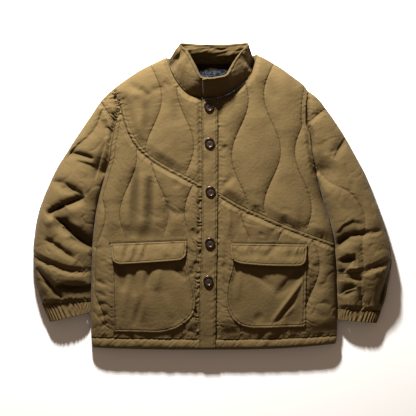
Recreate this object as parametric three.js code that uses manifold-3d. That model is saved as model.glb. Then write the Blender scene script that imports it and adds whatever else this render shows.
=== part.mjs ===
// A quilted blouson laid flat on its back, front side up, in millimetres.
// x runs to the right as seen from above, y towards the collar, z up from the surface it lies on.
// Padded cloth is a wall: its outer points carry the quilting and the folds, its inner side is plain.
// The tables say left and right as seen from above; the meshes are named for the wearer's sides.
import * as THREE from "three";
import { mergeVertices } from "three/addons/utils/BufferGeometryUtils.js";
import Module from "manifold-3d";

const { clamp, lerp, smoothstep } = THREE.MathUtils;

// Cloth, padding and clearances
const SEAM_INSET = 0.25; // each piece stops this far short of the seam line it shares
const CLEAR = 0.35; // between a piece and what it lies on
const BACK_THICK = 7; // padded back, flat on the surface
const BACK_CURL = 2.5; // how far the back's rim lifts off the surface
const BACK_CURL_WIDTH = 14;
const WALL = 5.5; // padded cloth along a quilting line
const LEAST_WALL = 4;
const PUFF = 5; // how far the padding rises between two quilting lines
const FULL_PUFF_WIDTH = 60; // a channel narrower than this rises less
const SEAM_DIP = 1.5; // how far the cloth sinks into a seam
const SEAM_FADE = 16; // the padding reaches its height this far from a seam

// How the front and the sleeves round up from their edges
const EDGE_HEIGHT = 14;
const FOOT = BACK_THICK + CLEAR; // the upper layer's edge stands on the back here
const SIDE_ROLL = 44;
const SHOULDER_ROLL = 48;
const SLEEVE_ROLL = 50;
const ARMHOLE_BLEND = 60; // from the armhole, the sleeve takes its own height over this length
const SIDE_ROLL_FROM = 110; // y where the side starts to round down, under the armhole
const SIDE_ROLL_FULL = 20;
const BODY_HEIGHTS = [
  { y: 340, crest: 34 },
  { y: 200, crest: 38 },
  { y: 0, crest: 38 },
  { y: -200, crest: 37 },
  { y: -300, crest: 33 },
  { y: -340, crest: 28 },
  { y: -368, crest: 26 },
];
const SLEEVE_HEIGHTS = [
  { y: 256, crest: 38 },
  { y: 120, crest: 42 },
  { y: 0, crest: 48 },
  { y: -120, crest: 51 },
  { y: -200, crest: 48 },
  { y: -250, crest: 34 },
  { y: -280, crest: 31 },
];

// Outline: the armholes and sides of the body, row by row from the shoulder tips to the hem
const BODY_SIDES = [
  { y: 254, left: -244, right: 229 },
  { y: 220, left: -221, right: 224 },
  { y: 175, left: -232, right: 224 },
  { y: 150, left: -237, right: 233 },
  { y: 124, left: -242, right: 236 },
  { y: 90, left: -246, right: 242 },
  { y: 59, left: -256, right: 248 },
  { y: 25, left: -266, right: 257 },
  { y: -8, left: -275, right: 265 },
  { y: -56, left: -283, right: 282 },
  { y: -104, left: -288, right: 292 },
  { y: -157, left: -290, right: 296 },
  { y: -248, left: -292, right: 299 },
  { y: -334, left: -292, right: 299 },
  { y: -366, left: -288, right: 293 },
];
const TIP_Y = 254;
const NOTCH_Y = 220; // the yoke seam starts here on the left armhole
const STEEP_SHARE = 3 / 7; // the left yoke seam is steep up to here, and is the upper panel's side
const CAP_Y = 175; // the sleeve's cap seam ends here on the armhole
const UNDERARM_Y = 59;
// Every piece that meets an armhole has its points on these rows of it
const ARMHOLE_ROWS = [UNDERARM_Y, 90, 120, 150, CAP_Y, 197, NOTCH_Y, 237, TIP_Y];
const PLACKET = [
  { y: 240, left: -25, right: 13 },
  { y: 0, left: -25, right: 13 },
  { y: -150, left: -27, right: 11 },
  { y: -230, left: -31, right: 9 },
  { y: -370, left: -32, right: 8 },
];
const HEM = [
  { x: -292, seam: -338, bottom: -363 },
  { x: -150, seam: -341, bottom: -367 },
  { x: 0, seam: -343, bottom: -368 },
  { x: 162, seam: -341, bottom: -365 },
  { x: 299, seam: -334, bottom: -354 },
];
const HEM_LEFT = HEM[0];
const HEM_RIGHT = HEM.at(-1);
const HEM_CORNERS = { left: -288, right: 294 }; // x of the band's lower corners
const PLACKET_END = { ...PLACKET.at(-1), y: -368 };
const HEM_BAND_ACROSS = [0, 0.03, 0.09, 0.22, 0.4, 0.6, 0.8, 1];
const HEM_BAND_UP = [
  { share: 0, rise: -4 },
  { share: 0.16, rise: 0 },
  { share: 0.5, rise: 2.5 },
  { share: 0.84, rise: 1.5 },
  { share: 1, rise: -SEAM_DIP },
];
const SHOULDERS = {
  left: [
    { x: -244, y: 254 },
    { x: -222, y: 271 },
    { x: -196, y: 289 },
    { x: -162, y: 310 },
    { x: -109, y: 335 },
  ],
  right: [
    { x: 104, y: 342 },
    { x: 131, y: 329 },
    { x: 162, y: 310 },
    { x: 191, y: 289 },
    { x: 217, y: 270 },
    { x: 229, y: 254 },
  ],
};
const NECKLINES = {
  left: [
    { x: -109, y: 335 },
    { x: -102, y: 308 },
    { x: -90, y: 282 },
    { x: -73, y: 258 },
    { x: -54, y: 242 },
    { x: -25, y: 233 },
  ],
  right: [
    { x: 13, y: 237 },
    { x: 42, y: 247 },
    { x: 71, y: 268 },
    { x: 90, y: 289 },
    { x: 100, y: 318 },
    { x: 104, y: 342 },
  ],
};
const BACK_NECK = [
  { x: -109, y: 335 },
  { x: -78, y: 328 },
  { x: -42, y: 323 },
  { x: 0, y: 322 },
  { x: 47, y: 324 },
  { x: 80, y: 332 },
  { x: 104, y: 342 },
];
// The seam that crosses both fronts, from the left armhole down to the right side
const YOKES = {
  left: [
    { x: -221, y: 220 },
    { x: -213, y: 186 },
    { x: -201, y: 151 },
    { x: -181, y: 118 },
    { x: -150, y: 88 },
    { x: -112, y: 64 },
    { x: -73, y: 44 },
    { x: -25, y: 18 },
  ],
  right: [
    { x: 13, y: 0 },
    { x: 66, y: -31 },
    { x: 121, y: -55 },
    { x: 176, y: -79 },
    { x: 227, y: -98 },
    { x: 258, y: -109 },
    { x: 293, y: -121 },
  ],
};

// Heights, beside those of the armholes, at which the panels have rows of points
const BACK_ROWS = [HEM_LEFT.seam, -325, -262, -168, -75, 0];
const LEFT_LOWER_ROWS = [HEM_LEFT.seam, -325, -300, -262, -215, -168, -120, -75, -30, 5, 32];
const LEFT_UPPER_ROWS = [127, 139, 154, 172, 195];
const RIGHT_UPPER_ROWS = [-110, -88, -60, -30, 0, 30];

// Quilting: each line swings about its own x, furthest right at y = peak; neighbours swing apart.
// Above straightFrom, where there is one, a line runs straight up.
const QUILT_PERIOD = 269;
const QUILT_SWING = 20;
const LEAST_CHANNEL = 10;
const QUILT_LINES = {
  leftUpper: [
    { x: -142, peak: 235 },
    { x: -65, peak: 121 },
  ],
  leftLower: [
    { x: -277, peak: -44 },
    { x: -202, peak: 92, straightFrom: 92 },
    { x: -126, peak: -44 },
    { x: -47, peak: 95 },
  ],
  rightUpper: [
    { x: 66, peak: 232 },
    { x: 143, peak: 109 },
    { x: 217, peak: 240 },
  ],
  rightLower: [
    { x: 88, peak: -165 },
    { x: 160, peak: -30 },
    { x: 236, peak: -165 },
  ],
};

// Folds: a trough (or a ridge, where depth is positive) between two places
const FOLDS = [
  { x1: -205, y1: 272, x2: -150, y2: 239, depth: -4, width: 9 },
  { x1: -148, y1: 252, x2: -114, y2: 261, depth: -3, width: 8 },
  { x1: 52, y1: 52, x2: 20, y2: 16, depth: -4, width: 8 },
  { x1: -262, y1: 184, x2: -247, y2: 140, depth: -6, width: 9 },
  { x1: -340, y1: 107, x2: -284, y2: 90, depth: -4, width: 9 },
  { x1: -385, y1: 35, x2: -311, y2: 1, depth: -6, width: 10 },
  { x1: -395, y1: -47, x2: -350, y2: -24, depth: -10, width: 10 },
  { x1: -350, y1: -24, x2: -306, y2: -4, depth: -9, width: 10 },
  { x1: -400, y1: -72, x2: -340, y2: -44, depth: 5, width: 12 },
  { x1: -380, y1: -56, x2: -342, y2: -90, depth: -12, width: 12 },
  { x1: -342, y1: -90, x2: -292, y2: -126, depth: -10, width: 12 },
  { x1: -402, y1: -102, x2: -328, y2: -148, depth: -5, width: 9 },
  { x1: -420, y1: -176, x2: -363, y2: -246, depth: -5, width: 9 },
  { x1: -376, y1: -212, x2: -300, y2: -210, depth: -5, width: 8 },
  { x1: 284, y1: 92, x2: 318, y2: 146, depth: -5, width: 11 },
  { x1: 300, y1: -119, x2: 330, y2: -95, depth: -10, width: 10 },
  { x1: 330, y1: -95, x2: 405, y2: -80, depth: -9, width: 10 },
  { x1: 306, y1: -157, x2: 345, y2: -147, depth: -9, width: 10 },
  { x1: 318, y1: -191, x2: 362, y2: -199, depth: -5, width: 9 },
  { x1: 308, y1: -239, x2: 346, y2: -222, depth: -5, width: 8 },
  { x1: 398, y1: -262, x2: 410, y2: -210, depth: -5, width: 8 },
];

// Sleeves: their outer and inner edges, and the seams across them. One quilting line runs down
// each: down is 0 at the armhole, 1 at the elbow and 2 at the cuff, across is 0 on the outer edge.
const SLEEVE_PUFF = 4;
const CAP_DIP = 0.8;
const QUILT_START = { left: 3, right: 7 }; // the column of points that becomes the quilting line
const SLEEVES = {
  left: {
    outer: [
      { x: -244, y: 254 },
      { x: -268, y: 229 },
      { x: -299, y: 184 },
      { x: -330, y: 138 },
      { x: -356, y: 97 },
      { x: -376, y: 64 },
      { x: -395, y: 23 },
      { x: -408, y: -8 },
      { x: -420, y: -47 },
      { x: -428, y: -95 },
      { x: -431, y: -140 },
      { x: -427, y: -188 },
      { x: -419, y: -229 },
      { x: -409, y: -259 },
    ],
    inner: [
      { x: -256, y: 59 },
      { x: -269, y: 25 },
      { x: -278, y: -8 },
      { x: -287, y: -56 },
      { x: -292, y: -104 },
      { x: -294, y: -179 },
      { x: -295, y: -254 },
    ],
    quilt: [
      { down: 0, across: 0.32 },
      { down: 0.1, across: 0.26 },
      { down: 0.25, across: 0.15 },
      { down: 0.4, across: 0.13 },
      { down: 0.65, across: 0.3 },
      { down: 0.85, across: 0.42 },
      { down: 1, across: 0.4 },
      { down: 1.5, across: 0.3 },
      { down: 2, across: 0.42 },
    ],
    capRow: 1,
    elbowRow: 10,
    innerElbowRow: 5,
    elbow: [
      { x: -431, y: -140 },
      { x: -392, y: -160 },
      { x: -356, y: -174 },
      { x: -323, y: -179 },
      { x: -294, y: -179 },
    ],
    cuffEnd: { outer: { x: -390, y: -301 }, inner: { x: -295, y: -278 } },
  },
  right: {
    outer: [
      { x: 229, y: 254 },
      { x: 253, y: 235 },
      { x: 272, y: 212 },
      { x: 299, y: 174 },
      { x: 323, y: 136 },
      { x: 347, y: 92 },
      { x: 365, y: 59 },
      { x: 378, y: 28 },
      { x: 395, y: -18 },
      { x: 409, y: -61 },
      { x: 421, y: -100 },
      { x: 430, y: -148 },
      { x: 428, y: -182 },
      { x: 422, y: -215 },
      { x: 415, y: -248 },
      { x: 404, y: -278 },
    ],
    inner: [
      { x: 248, y: 59 },
      { x: 260, y: 25 },
      { x: 268, y: -8 },
      { x: 286, y: -56 },
      { x: 296, y: -104 },
      { x: 306, y: -157 },
      { x: 308, y: -185 },
      { x: 306, y: -248 },
      { x: 302, y: -270 },
    ],
    quilt: [
      { down: 0, across: 0.866 },
      { down: 0.12, across: 0.64 },
      { down: 0.3, across: 0.43 },
      { down: 0.5, across: 0.34 },
      { down: 0.75, across: 0.4 },
      { down: 1, across: 0.54 },
      { down: 1.4, across: 0.6 },
      { down: 2, across: 0.42 },
    ],
    capRow: 2,
    elbowRow: 11,
    innerElbowRow: 6,
    elbow: [
      { x: 430, y: -148 },
      { x: 404, y: -163 },
      { x: 378, y: -173 },
      { x: 347, y: -183 },
      { x: 308, y: -185 },
    ],
    cuffEnd: { outer: { x: 394, y: -304 }, inner: { x: 303, y: -296 } },
  },
};

// Elastic cuffs: flattened rings with gathers round them
const CUFF = { height: 30, wall: 3, gathers: 34, gatherDepth: 1.5, gap: 0.1 };
const CUFF_SIDE_GATHER = 0.5; // gathers are this much shallower at the cuff's two sides
const CUFF_FLATTENING = 0.8; // below 1 the ring's section is squarer than an ellipse

// Collar: a band that leans in at the front and out at the back, with its front ends overlapping
const COLLAR_WALL = 4.2;
const COLLAR_SEAT = 3; // the band's middle stands this far inside the neck seam
const COLLAR_ON_BACK = 9.2; // height of the band's lower edge where it stands on the back
const BACK_NECK_FROM = 312; // above this y the band leaves the fronts
const BACK_NECK_FULL = 330; // and from here it stands on the back
const COLLAR_SINK = 2; // the band's lower edge is this far into the fronts' height
const COLLAR_LAP = { back: 3.8, down: 4.05 }; // how far the hidden end is moved under the other
const COLLAR_BULGE = 2;
const COLLAR_SECTIONS = 48;
const COLLAR_UP = [0, 0.14, 0.35, 0.6, 0.82, 1];
const COLLAR = [
  { seamX: 6, seamY: 236, topX: 4, topY: 277, topZ: 76, under: 1 },
  { seamX: -25, seamY: 233, topX: -25, topY: 280, topZ: 76, under: 1 },
  { seamX: -54, seamY: 242, topX: -33, topY: 291, topZ: 73, under: 0.2 },
  { seamX: -73, seamY: 258, topX: -40, topY: 309, topZ: 69, under: 0 },
  { seamX: -90, seamY: 282, topX: -49, topY: 328, topZ: 64, under: 0 },
  { seamX: -102, seamY: 308, topX: -60, topY: 346, topZ: 60, under: 0 },
  { seamX: -105, seamY: 330, topX: -79, topY: 364, topZ: 56, under: 0 },
  { seamX: -78, seamY: 328, topX: -62, topY: 366, topZ: 52, under: 0 },
  { seamX: -42, seamY: 323, topX: -33, topY: 364, topZ: 50, under: 0 },
  { seamX: 0, seamY: 322, topX: 0, topY: 363, topZ: 50, under: 0 },
  { seamX: 47, seamY: 324, topX: 38, topY: 364, topZ: 50, under: 0 },
  { seamX: 80, seamY: 332, topX: 68, topY: 366, topZ: 52, under: 0 },
  { seamX: 98, seamY: 336, topX: 84, topY: 364, topZ: 56, under: 0 },
  { seamX: 98.5, seamY: 318, topX: 66, topY: 342, topZ: 60, under: 0 },
  { seamX: 90, seamY: 289, topX: 51, topY: 322, topZ: 66, under: 0 },
  { seamX: 71, seamY: 268, topX: 43, topY: 305, topZ: 72, under: 0 },
  { seamX: 42, seamY: 247, topX: 33, topY: 289, topZ: 79, under: 0 },
  { seamX: 13, seamY: 237, topX: 6, topY: 282, topZ: 83, under: 0 },
  { seamX: -22, seamY: 233, topX: -24, topY: 279, topZ: 84, under: 0 },
];

// Inside of the back neck: a woven strip along the seam over a darker facing
const NECK_CLOTH = 1.2;
const NECK_COLUMNS = 9;
const NECK_TAPE = { left: -66, right: 66, from: 17, to: 3 };
const NECK_LINING = { left: -88, right: 84, from: 110, middle: 60, to: 17.6 };

// Patch pockets: a bag, a flap over its mouth and a narrow welt above the flap
const POCKET_CLOTH = 2.6;
const POCKET_BULGE = 4;
const FLAP_STAND = 3.6; // extra height of the flap over the pocket's mouth
const FLAP_FLARE = 2.4; // extra height at the flap's free edge
const FLAP_STITCH = 6; // the flap is sewn down this far below the top of the pocket's area
const FLAP_REACH = { stand: 22, flareFrom: 15, flareFull: 60 }; // distances down from that stitch
const WELT_CLOTH = 2;
const PILE_FADE = 16; // round a pocket the quilting flattens over this distance
const POCKETS = {
  left: {
    area: { left: -248, right: -40, bottom: -327, top: -98 },
    bag: [
      { x: -242, y: -128 },
      { x: -238, y: -325 },
      { x: -124, y: -327 },
      { x: -88, y: -318 },
      { x: -60, y: -299 },
      { x: -43, y: -275 },
      { x: -40, y: -243 },
      { x: -47, y: -204 },
      { x: -59, y: -160 },
      { x: -62, y: -128 },
    ],
    flap: [
      { x: -244, y: -113 },
      { x: -240, y: -145 },
      { x: -235, y: -157 },
      { x: -224, y: -162 },
      { x: -206, y: -162 },
      { x: -92, y: -154 },
      { x: -74, y: -151 },
      { x: -64, y: -140 },
      { x: -61, y: -106 },
    ],
    welt: [
      { x: -248, y: -112 },
      { x: -61, y: -105 },
      { x: -61, y: -98 },
      { x: -248, y: -104.5 },
    ],
  },
  right: {
    area: { left: 32, right: 228, bottom: -317, top: -101 },
    bag: [
      { x: 49, y: -130 },
      { x: 45, y: -170 },
      { x: 34, y: -212 },
      { x: 32, y: -252 },
      { x: 43, y: -285 },
      { x: 66, y: -309 },
      { x: 96, y: -317 },
      { x: 223, y: -313 },
      { x: 226, y: -130 },
    ],
    flap: [
      { x: 44, y: -112 },
      { x: 45, y: -140 },
      { x: 52, y: -154 },
      { x: 68, y: -161 },
      { x: 126, y: -166 },
      { x: 200, y: -167 },
      { x: 216, y: -163 },
      { x: 223, y: -153 },
      { x: 227, y: -115 },
    ],
    welt: [
      { x: 43, y: -111 },
      { x: 224, y: -114 },
      { x: 224, y: -107 },
      { x: 43, y: -103.5 },
    ],
  },
};

// Ring snaps down the placket
const PLACKET_RAISE = { middle: 3, edge: 1.5 };
const RING_SIDES = 20;
const RING_INNER = 8.6;
const RING = [
  { radius: RING_INNER, height: 0 },
  { radius: 11.7, height: 0 },
  { radius: 12.5, height: 1.2 },
  { radius: 11.8, height: 2.8 },
  { radius: 10.7, height: 3.4 },
  { radius: 9.2, height: 3 },
  { radius: RING_INNER, height: 0 },
];
const CENTRE = [
  { radius: 0, height: 0 },
  { radius: RING_INNER - CLEAR, height: 0 },
  { radius: RING_INNER - CLEAR, height: 1.3 },
  { radius: RING_INNER - 1.4, height: 1.8 },
  { radius: 0, height: 1.2 },
];
const BUTTON_SEAT = 30; // a button clears the placket's highest point this far up and down from it
const BUTTONS = [
  { x: -8, y: 216 },
  { x: -7, y: 128 },
  { x: -5, y: 12 },
  { x: -6, y: -111 },
  { x: -10, y: -202 },
];

const CLOTH = new THREE.MeshStandardMaterial({ color: 0x8c7a4d, roughness: 0.75 });
const CLOTH_SHADE = new THREE.MeshStandardMaterial({ color: 0x7c6b42, roughness: 0.8 });
const TAPE = new THREE.MeshStandardMaterial({ color: 0x4a3622, roughness: 0.85 });
const LINING = new THREE.MeshStandardMaterial({ color: 0x262b33, roughness: 0.6 });
const COPPER = new THREE.MeshStandardMaterial({ color: 0x5a4038, roughness: 0.35, metalness: 0.9 });
const BROWN = new THREE.MeshStandardMaterial({ color: 0x2a1c18, roughness: 0.5, metalness: 0.3 });

const ABOVE_ALL = 200; // higher than anything here

const wasm = await Module();
wasm.setup();
const garment = new THREE.Group();

function add(name, geometry, material) {
  const mesh = new THREE.Mesh(geometry, material);
  mesh.name = name;
  garment.add(mesh);
}

// Smooth value of one column of a table between its rows, which are in order of the key column.
function between(table, key, column, value) {
  const way = Math.sign(table[1][key] - table[0][key]);
  let row = 0;
  while (row < table.length - 2 && way * (value - table[row + 1][key]) > 0) row += 1;
  const slope = (k) => {
    const before = table[Math.max(k - 1, 0)];
    const after = table[Math.min(k + 1, table.length - 1)];
    return (after[column] - before[column]) / (after[key] - before[key]);
  };
  const a = table[row];
  const b = table[row + 1];
  const span = b[key] - a[key];
  const t = clamp((value - a[key]) / span, 0, 1);
  const rise = (t - 2 * t ** 2 + t ** 3) * slope(row) + (t ** 3 - t ** 2) * slope(row + 1);
  return lerp(a[column], b[column], 3 * t ** 2 - 2 * t ** 3) + span * rise;
}

const sideX = (side, y) => between(BODY_SIDES, "y", side, y);
const plackX = (side, y) => between(PLACKET, "y", side, y);

// Edges are functions of a share s, from 0 to 1, that give a point.
function spline(points) {
  const curve = new THREE.SplineCurve(points.map(({ x, y }) => new THREE.Vector2(x, y)));
  return (s) => curve.getPoint(s);
}
const part = (edge, from, to) => (s) => edge(lerp(from, to, s));
const join = (first, second) => (s) => (s < 0.5 ? first(2 * s) : second(2 * s - 1));
const hemEdge = (column, fromX, toX) => (s) => {
  const x = lerp(fromX, toX, s);
  return { x, y: between(HEM, "x", column, x) };
};
const bodyEdge = (side, fromY, toY) => (s) => {
  const y = lerp(fromY, toY, s);
  return { x: sideX(side, y), y };
};
const points = (edge, count) => Array.from({ length: count + 1 }, (_, k) => edge(k / count));

// The point of a path that lies nearest to a place, and how far off it is.
function nearest(path, x, y) {
  let best = { distance: Infinity };
  for (let k = 0; k + 1 < path.length; k += 1) {
    const a = path[k];
    const dx = path[k + 1].x - a.x;
    const dy = path[k + 1].y - a.y;
    const t = clamp(((x - a.x) * dx + (y - a.y) * dy) / (dx * dx + dy * dy), 0, 1);
    const found = { x: a.x + t * dx, y: a.y + t * dy };
    found.distance = Math.hypot(x - found.x, y - found.y);
    if (found.distance < best.distance) best = found;
  }
  return best;
}

// Rounds up like a quarter of an ellipse: 0 at an edge, 1 at the roll's full width.
const roll = (distance, width) => Math.sqrt(1 - (1 - clamp(distance / width, 0, 1)) ** 2);

const TOP_EDGE = [...SHOULDERS.left, ...SHOULDERS.right];
const ARMHOLES = {
  left: points(bodyEdge("left", TIP_Y, UNDERARM_Y), 14),
  right: points(bodyEdge("right", TIP_Y, UNDERARM_Y), 14),
};

// Large form of the fronts. With an inset it is the wall's inner side, that much further in.
function bodyForm(x, y, inset = 0) {
  const foot = inset ? FOOT : EDGE_HEIGHT;
  const crest = between(BODY_HEIGHTS, "y", "crest", y) - inset;
  const fromSide = Math.min(x - sideX("left", y), sideX("right", y) - x) - inset;
  const sided = 1 - smoothstep(y, SIDE_ROLL_FULL, SIDE_ROLL_FROM);
  const side = 1 - sided * (1 - roll(fromSide, SIDE_ROLL));
  const top = roll(nearest(TOP_EDGE, x, y).distance - inset, SHOULDER_ROLL);
  return foot + (crest - foot) * side * top;
}

// Large form of a sleeve's upper half: it leaves the armhole at the body's height.
function sleeveForm(side, x, y, inset = 0) {
  const { outer, inner } = SLEEVES[side];
  const foot = inset ? FOOT : EDGE_HEIGHT;
  const crest = between(SLEEVE_HEIGHTS, "y", "crest", y) - inset;
  const fromOuter = roll(nearest(outer, x, y).distance - inset, SLEEVE_ROLL);
  const fromInner = roll(nearest(inner, x, y).distance - inset, SLEEVE_ROLL);
  const own = foot + (crest - foot) * fromOuter * fromInner;
  const seam = nearest(ARMHOLES[side], x, y);
  const body = bodyForm(seam.x, seam.y, inset);
  return lerp(body, own, smoothstep(seam.distance, 0, ARMHOLE_BLEND));
}

function foldsAt(x, y) {
  let height = 0;
  for (const { x1, y1, x2, y2, depth, width } of FOLDS) {
    const off = nearest([{ x: x1, y: y1 }, { x: x2, y: y2 }], x, y).distance / width;
    height += depth * Math.exp(-off * off);
  }
  return height;
}

// 1 over a pocket, 0 away from it: there the quilting is pressed flat.
function underPocket(x, y) {
  const off = Object.values(POCKETS).map(({ area }) => {
    const outX = Math.max(area.left - x, x - area.right, 0);
    const outY = Math.max(area.bottom - y, y - area.top, 0);
    return Math.hypot(outX, outY);
  });
  return 1 - smoothstep(Math.min(...off), 0, PILE_FADE);
}

// Outer and inner height of a padded wall at a place, from its large form and its padding there.
function wallHeights(form, x, y, padding) {
  const fold = foldsAt(x, y) * (1 - underPocket(x, y));
  const inner = Math.max(FOOT, form(x, y, WALL) + fold);
  const outer = Math.max(form(x, y) + fold + padding, inner + LEAST_WALL);
  return { outer, inner };
}

// The last point along an edge at which a test still holds.
function lastWhere(edge, test) {
  let low = 0;
  let high = 1;
  for (let step = 0; step < 30; step += 1) {
    const middle = (low + high) / 2;
    if (test(edge(middle))) low = middle;
    else high = middle;
  }
  return edge(low);
}
const crossing = (edge, columnX) => lastWhere(edge, ({ x, y }) => x < columnX(y));

const sharesOf = (values, from, to) => values.map((value) => (value - from) / (to - from));

// Rows lie closer together near a piece's edges.
const rowShares = (count) =>
  Array.from({ length: count + 1 }, (_, j) => {
    const even = j / count;
    return lerp(even, (1 - Math.cos(Math.PI * even)) / 2, 0.6);
  });

// Flat pattern: columns run from the bottom edge to the top edge, the first and last on the sides.
function pattern({ bottom, top, columns, rows, corner }) {
  const last = columns.length - 1;
  const ends = columns.map(({ x }, i) => ({
    low: i === 0 ? bottom(0) : i === last ? bottom(1) : crossing(bottom, x),
    high: i === 0 ? top(0) : i === last ? top(1) : crossing(top, x),
  }));
  for (const place of corner ?? []) {
    const miss = ({ high }) => Math.hypot(high.x - place.x, high.y - place.y);
    ends.reduce((a, b) => (miss(b) < miss(a) ? b : a)).high = place;
  }
  return columns.map(({ x, puff }, i) =>
    rows.map((share, j) => {
      const { low, high } = ends[i];
      const y = lerp(low.y, high.y, share);
      const place = j === 0 ? low : j === rows.length - 1 ? high : { x: x(y), y };
      const toEnd = Math.min(Math.abs(y - low.y), Math.abs(high.y - y));
      return { x: place.x, y: place.y, padding: puff ? puff(y, toEnd) : 0 };
    }),
  );
}

// Columns follow the quilting lines; each channel between two lines has its own steps across.
const PLAIN = [0, 0.2, 0.5, 0.8];
const FROM_SIDE = [0, 0.1, 0.28, 0.6];
const TO_SIDE = [0, 0.4, 0.72, 0.9];
const ALONG_YOKE = [0, 0.07, 0.15, 0.27, 0.5, 0.8];
function quiltColumns(left, lines, right, steps) {
  const last = lines.length + 1;
  const station = (k, y) => {
    if (k === 0) return left(y);
    if (k === last) return right(y);
    const { x, peak, straightFrom = Infinity } = lines[k - 1];
    const turn = (2 * Math.PI * (Math.min(y, straightFrom) - peak)) / QUILT_PERIOD;
    const swung = x + QUILT_SWING * Math.cos(turn);
    const least = left(y) + k * LEAST_CHANNEL;
    const most = right(y) - (last - k) * LEAST_CHANNEL;
    return Math.max(least, Math.min(most, swung));
  };
  const columns = [];
  for (let k = 0; k < last; k += 1) {
    for (const t of steps[k]) {
      const x = (y) => lerp(station(k, y), station(k + 1, y), t);
      const puff = (y, toEnd) => {
        const width = station(k + 1, y) - station(k, y);
        const arch = Math.sin(Math.PI * t) ** 0.7 * Math.min(1, width / FULL_PUFF_WIDTH);
        const fade = smoothstep(toEnd, 0, SEAM_FADE);
        const flat = 1 - underPocket(x(y), y);
        return PUFF * arch * fade * flat - SEAM_DIP * (1 - fade) * flat;
      };
      columns.push({ x, puff });
    }
  }
  columns.push({ x: right, puff: (y, toEnd) => -SEAM_DIP * (1 - smoothstep(toEnd, 0, SEAM_FADE)) });
  return columns;
}

// Draws a pattern's rim in by the seam inset, square to each edge.
function inset(grid, amount = SEAM_INSET) {
  const wide = grid.length - 1;
  const high = grid[0].length - 1;
  const move = (i, j, a, b) => {
    const length = Math.hypot(b.x - a.x, b.y - a.y);
    return { i, j, x: (-(b.y - a.y) / length) * amount, y: ((b.x - a.x) / length) * amount };
  };
  const moves = [];
  for (let i = 0; i <= wide; i += 1) {
    const a = Math.max(i - 1, 0);
    const b = Math.min(i + 1, wide);
    moves.push(move(i, 0, grid[a][0], grid[b][0]));
    moves.push(move(i, high, grid[b][high], grid[a][high]));
  }
  for (let j = 0; j <= high; j += 1) {
    const a = Math.max(j - 1, 0);
    const b = Math.min(j + 1, high);
    moves.push(move(0, j, grid[0][b], grid[0][a]));
    moves.push(move(wide, j, grid[wide][a], grid[wide][b]));
  }
  const drawn = grid.map((column) => column.map((point) => ({ ...point })));
  for (const { i, j, x, y } of moves) {
    drawn[i][j].x += x;
    drawn[i][j].y += y;
  }
  return drawn;
}

// One closed body from triangles; its faces are turned outwards if they point in.
function closed(positions, triangles) {
  const geometry = new THREE.BufferGeometry();
  geometry.setAttribute("position", new THREE.Float32BufferAttribute(positions, 3));
  let volume = 0;
  const [a, b, c] = [new THREE.Vector3(), new THREE.Vector3(), new THREE.Vector3()];
  for (const triangle of triangles) {
    [a, b, c].forEach((corner, k) => corner.fromArray(positions, 3 * triangle[k]));
    volume += a.dot(b.cross(c));
  }
  geometry.setIndex((volume < 0 ? triangles.map(([p, q, r]) => [p, r, q]) : triangles).flat());
  return geometry;
}

// A wall between two grids of points with the same columns and rows. A ring's columns close up.
function wall(outer, inner, ring = false) {
  const wide = outer.length;
  const high = outer[0].length;
  const positions = [outer, inner].flat(2).flatMap(({ x, y, z }) => [x, y, z]);
  const at = (layer, i, j) => layer * wide * high + (i % wide) * high + j;
  const triangles = [];
  const quad = (a, b, c, d) => triangles.push([a, b, c], [a, c, d]);
  const spans = ring ? wide : wide - 1;
  for (let i = 0; i < spans; i += 1) {
    for (let j = 0; j + 1 < high; j += 1) {
      quad(at(0, i, j), at(0, i + 1, j), at(0, i + 1, j + 1), at(0, i, j + 1));
      quad(at(1, i, j), at(1, i, j + 1), at(1, i + 1, j + 1), at(1, i + 1, j));
    }
    quad(at(0, i, 0), at(1, i, 0), at(1, i + 1, 0), at(0, i + 1, 0));
    quad(at(0, i + 1, high - 1), at(1, i + 1, high - 1), at(1, i, high - 1), at(0, i, high - 1));
  }
  if (!ring) {
    for (let j = 0; j + 1 < high; j += 1) {
      quad(at(0, 0, j + 1), at(1, 0, j + 1), at(1, 0, j), at(0, 0, j));
      quad(at(0, wide - 1, j), at(1, wide - 1, j), at(1, wide - 1, j + 1), at(0, wide - 1, j + 1));
    }
  }
  return closed(positions, triangles);
}

const withHeight = (grid, height) =>
  grid.map((column) => column.map((point) => ({ x: point.x, y: point.y, z: height(point) })));

// A padded piece: its rim is drawn in and both sides of its wall get their heights.
function paddedWall(grid, form, name, material = CLOTH) {
  const drawn = inset(grid);
  const heights = (point) => wallHeights(form, point.x, point.y, point.padding);
  const outer = withHeight(drawn, (point) => heights(point).outer);
  add(name, wall(outer, withHeight(drawn, (point) => heights(point).inner)), material);
  return outer;
}

// A piece cut out of a layer that lies on a panel: the layer is the panel's own points, moved up.
const solid = (geometry) => {
  const bare = new THREE.BufferGeometry();
  bare.setAttribute("position", geometry.getAttribute("position"));
  bare.setIndex(geometry.index);
  const merged = mergeVertices(bare, 1e-4);
  return new wasm.Manifold(
    new wasm.Mesh({
      numProp: 3,
      vertProperties: merged.attributes.position.array,
      triVerts: new Uint32Array(merged.index.array),
    }),
  );
};
function cutFromLayer(panel, outline, low, high) {
  const lifted = (lift) => withHeight(panel, ({ x, y, z }) => z + lift(x, y));
  const shape = new THREE.Shape(outline.map(({ x, y }) => new THREE.Vector2(x, y)));
  const prism = new THREE.ExtrudeGeometry(shape, { depth: ABOVE_ALL, bevelEnabled: false });
  const cut = solid(wall(lifted(high), lifted(low))).intersect(solid(prism)).getMesh();
  const geometry = new THREE.BufferGeometry();
  geometry.setAttribute("position", new THREE.BufferAttribute(cut.vertProperties, 3));
  geometry.setIndex(new THREE.BufferAttribute(cut.triVerts, 1));
  return geometry;
}

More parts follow.
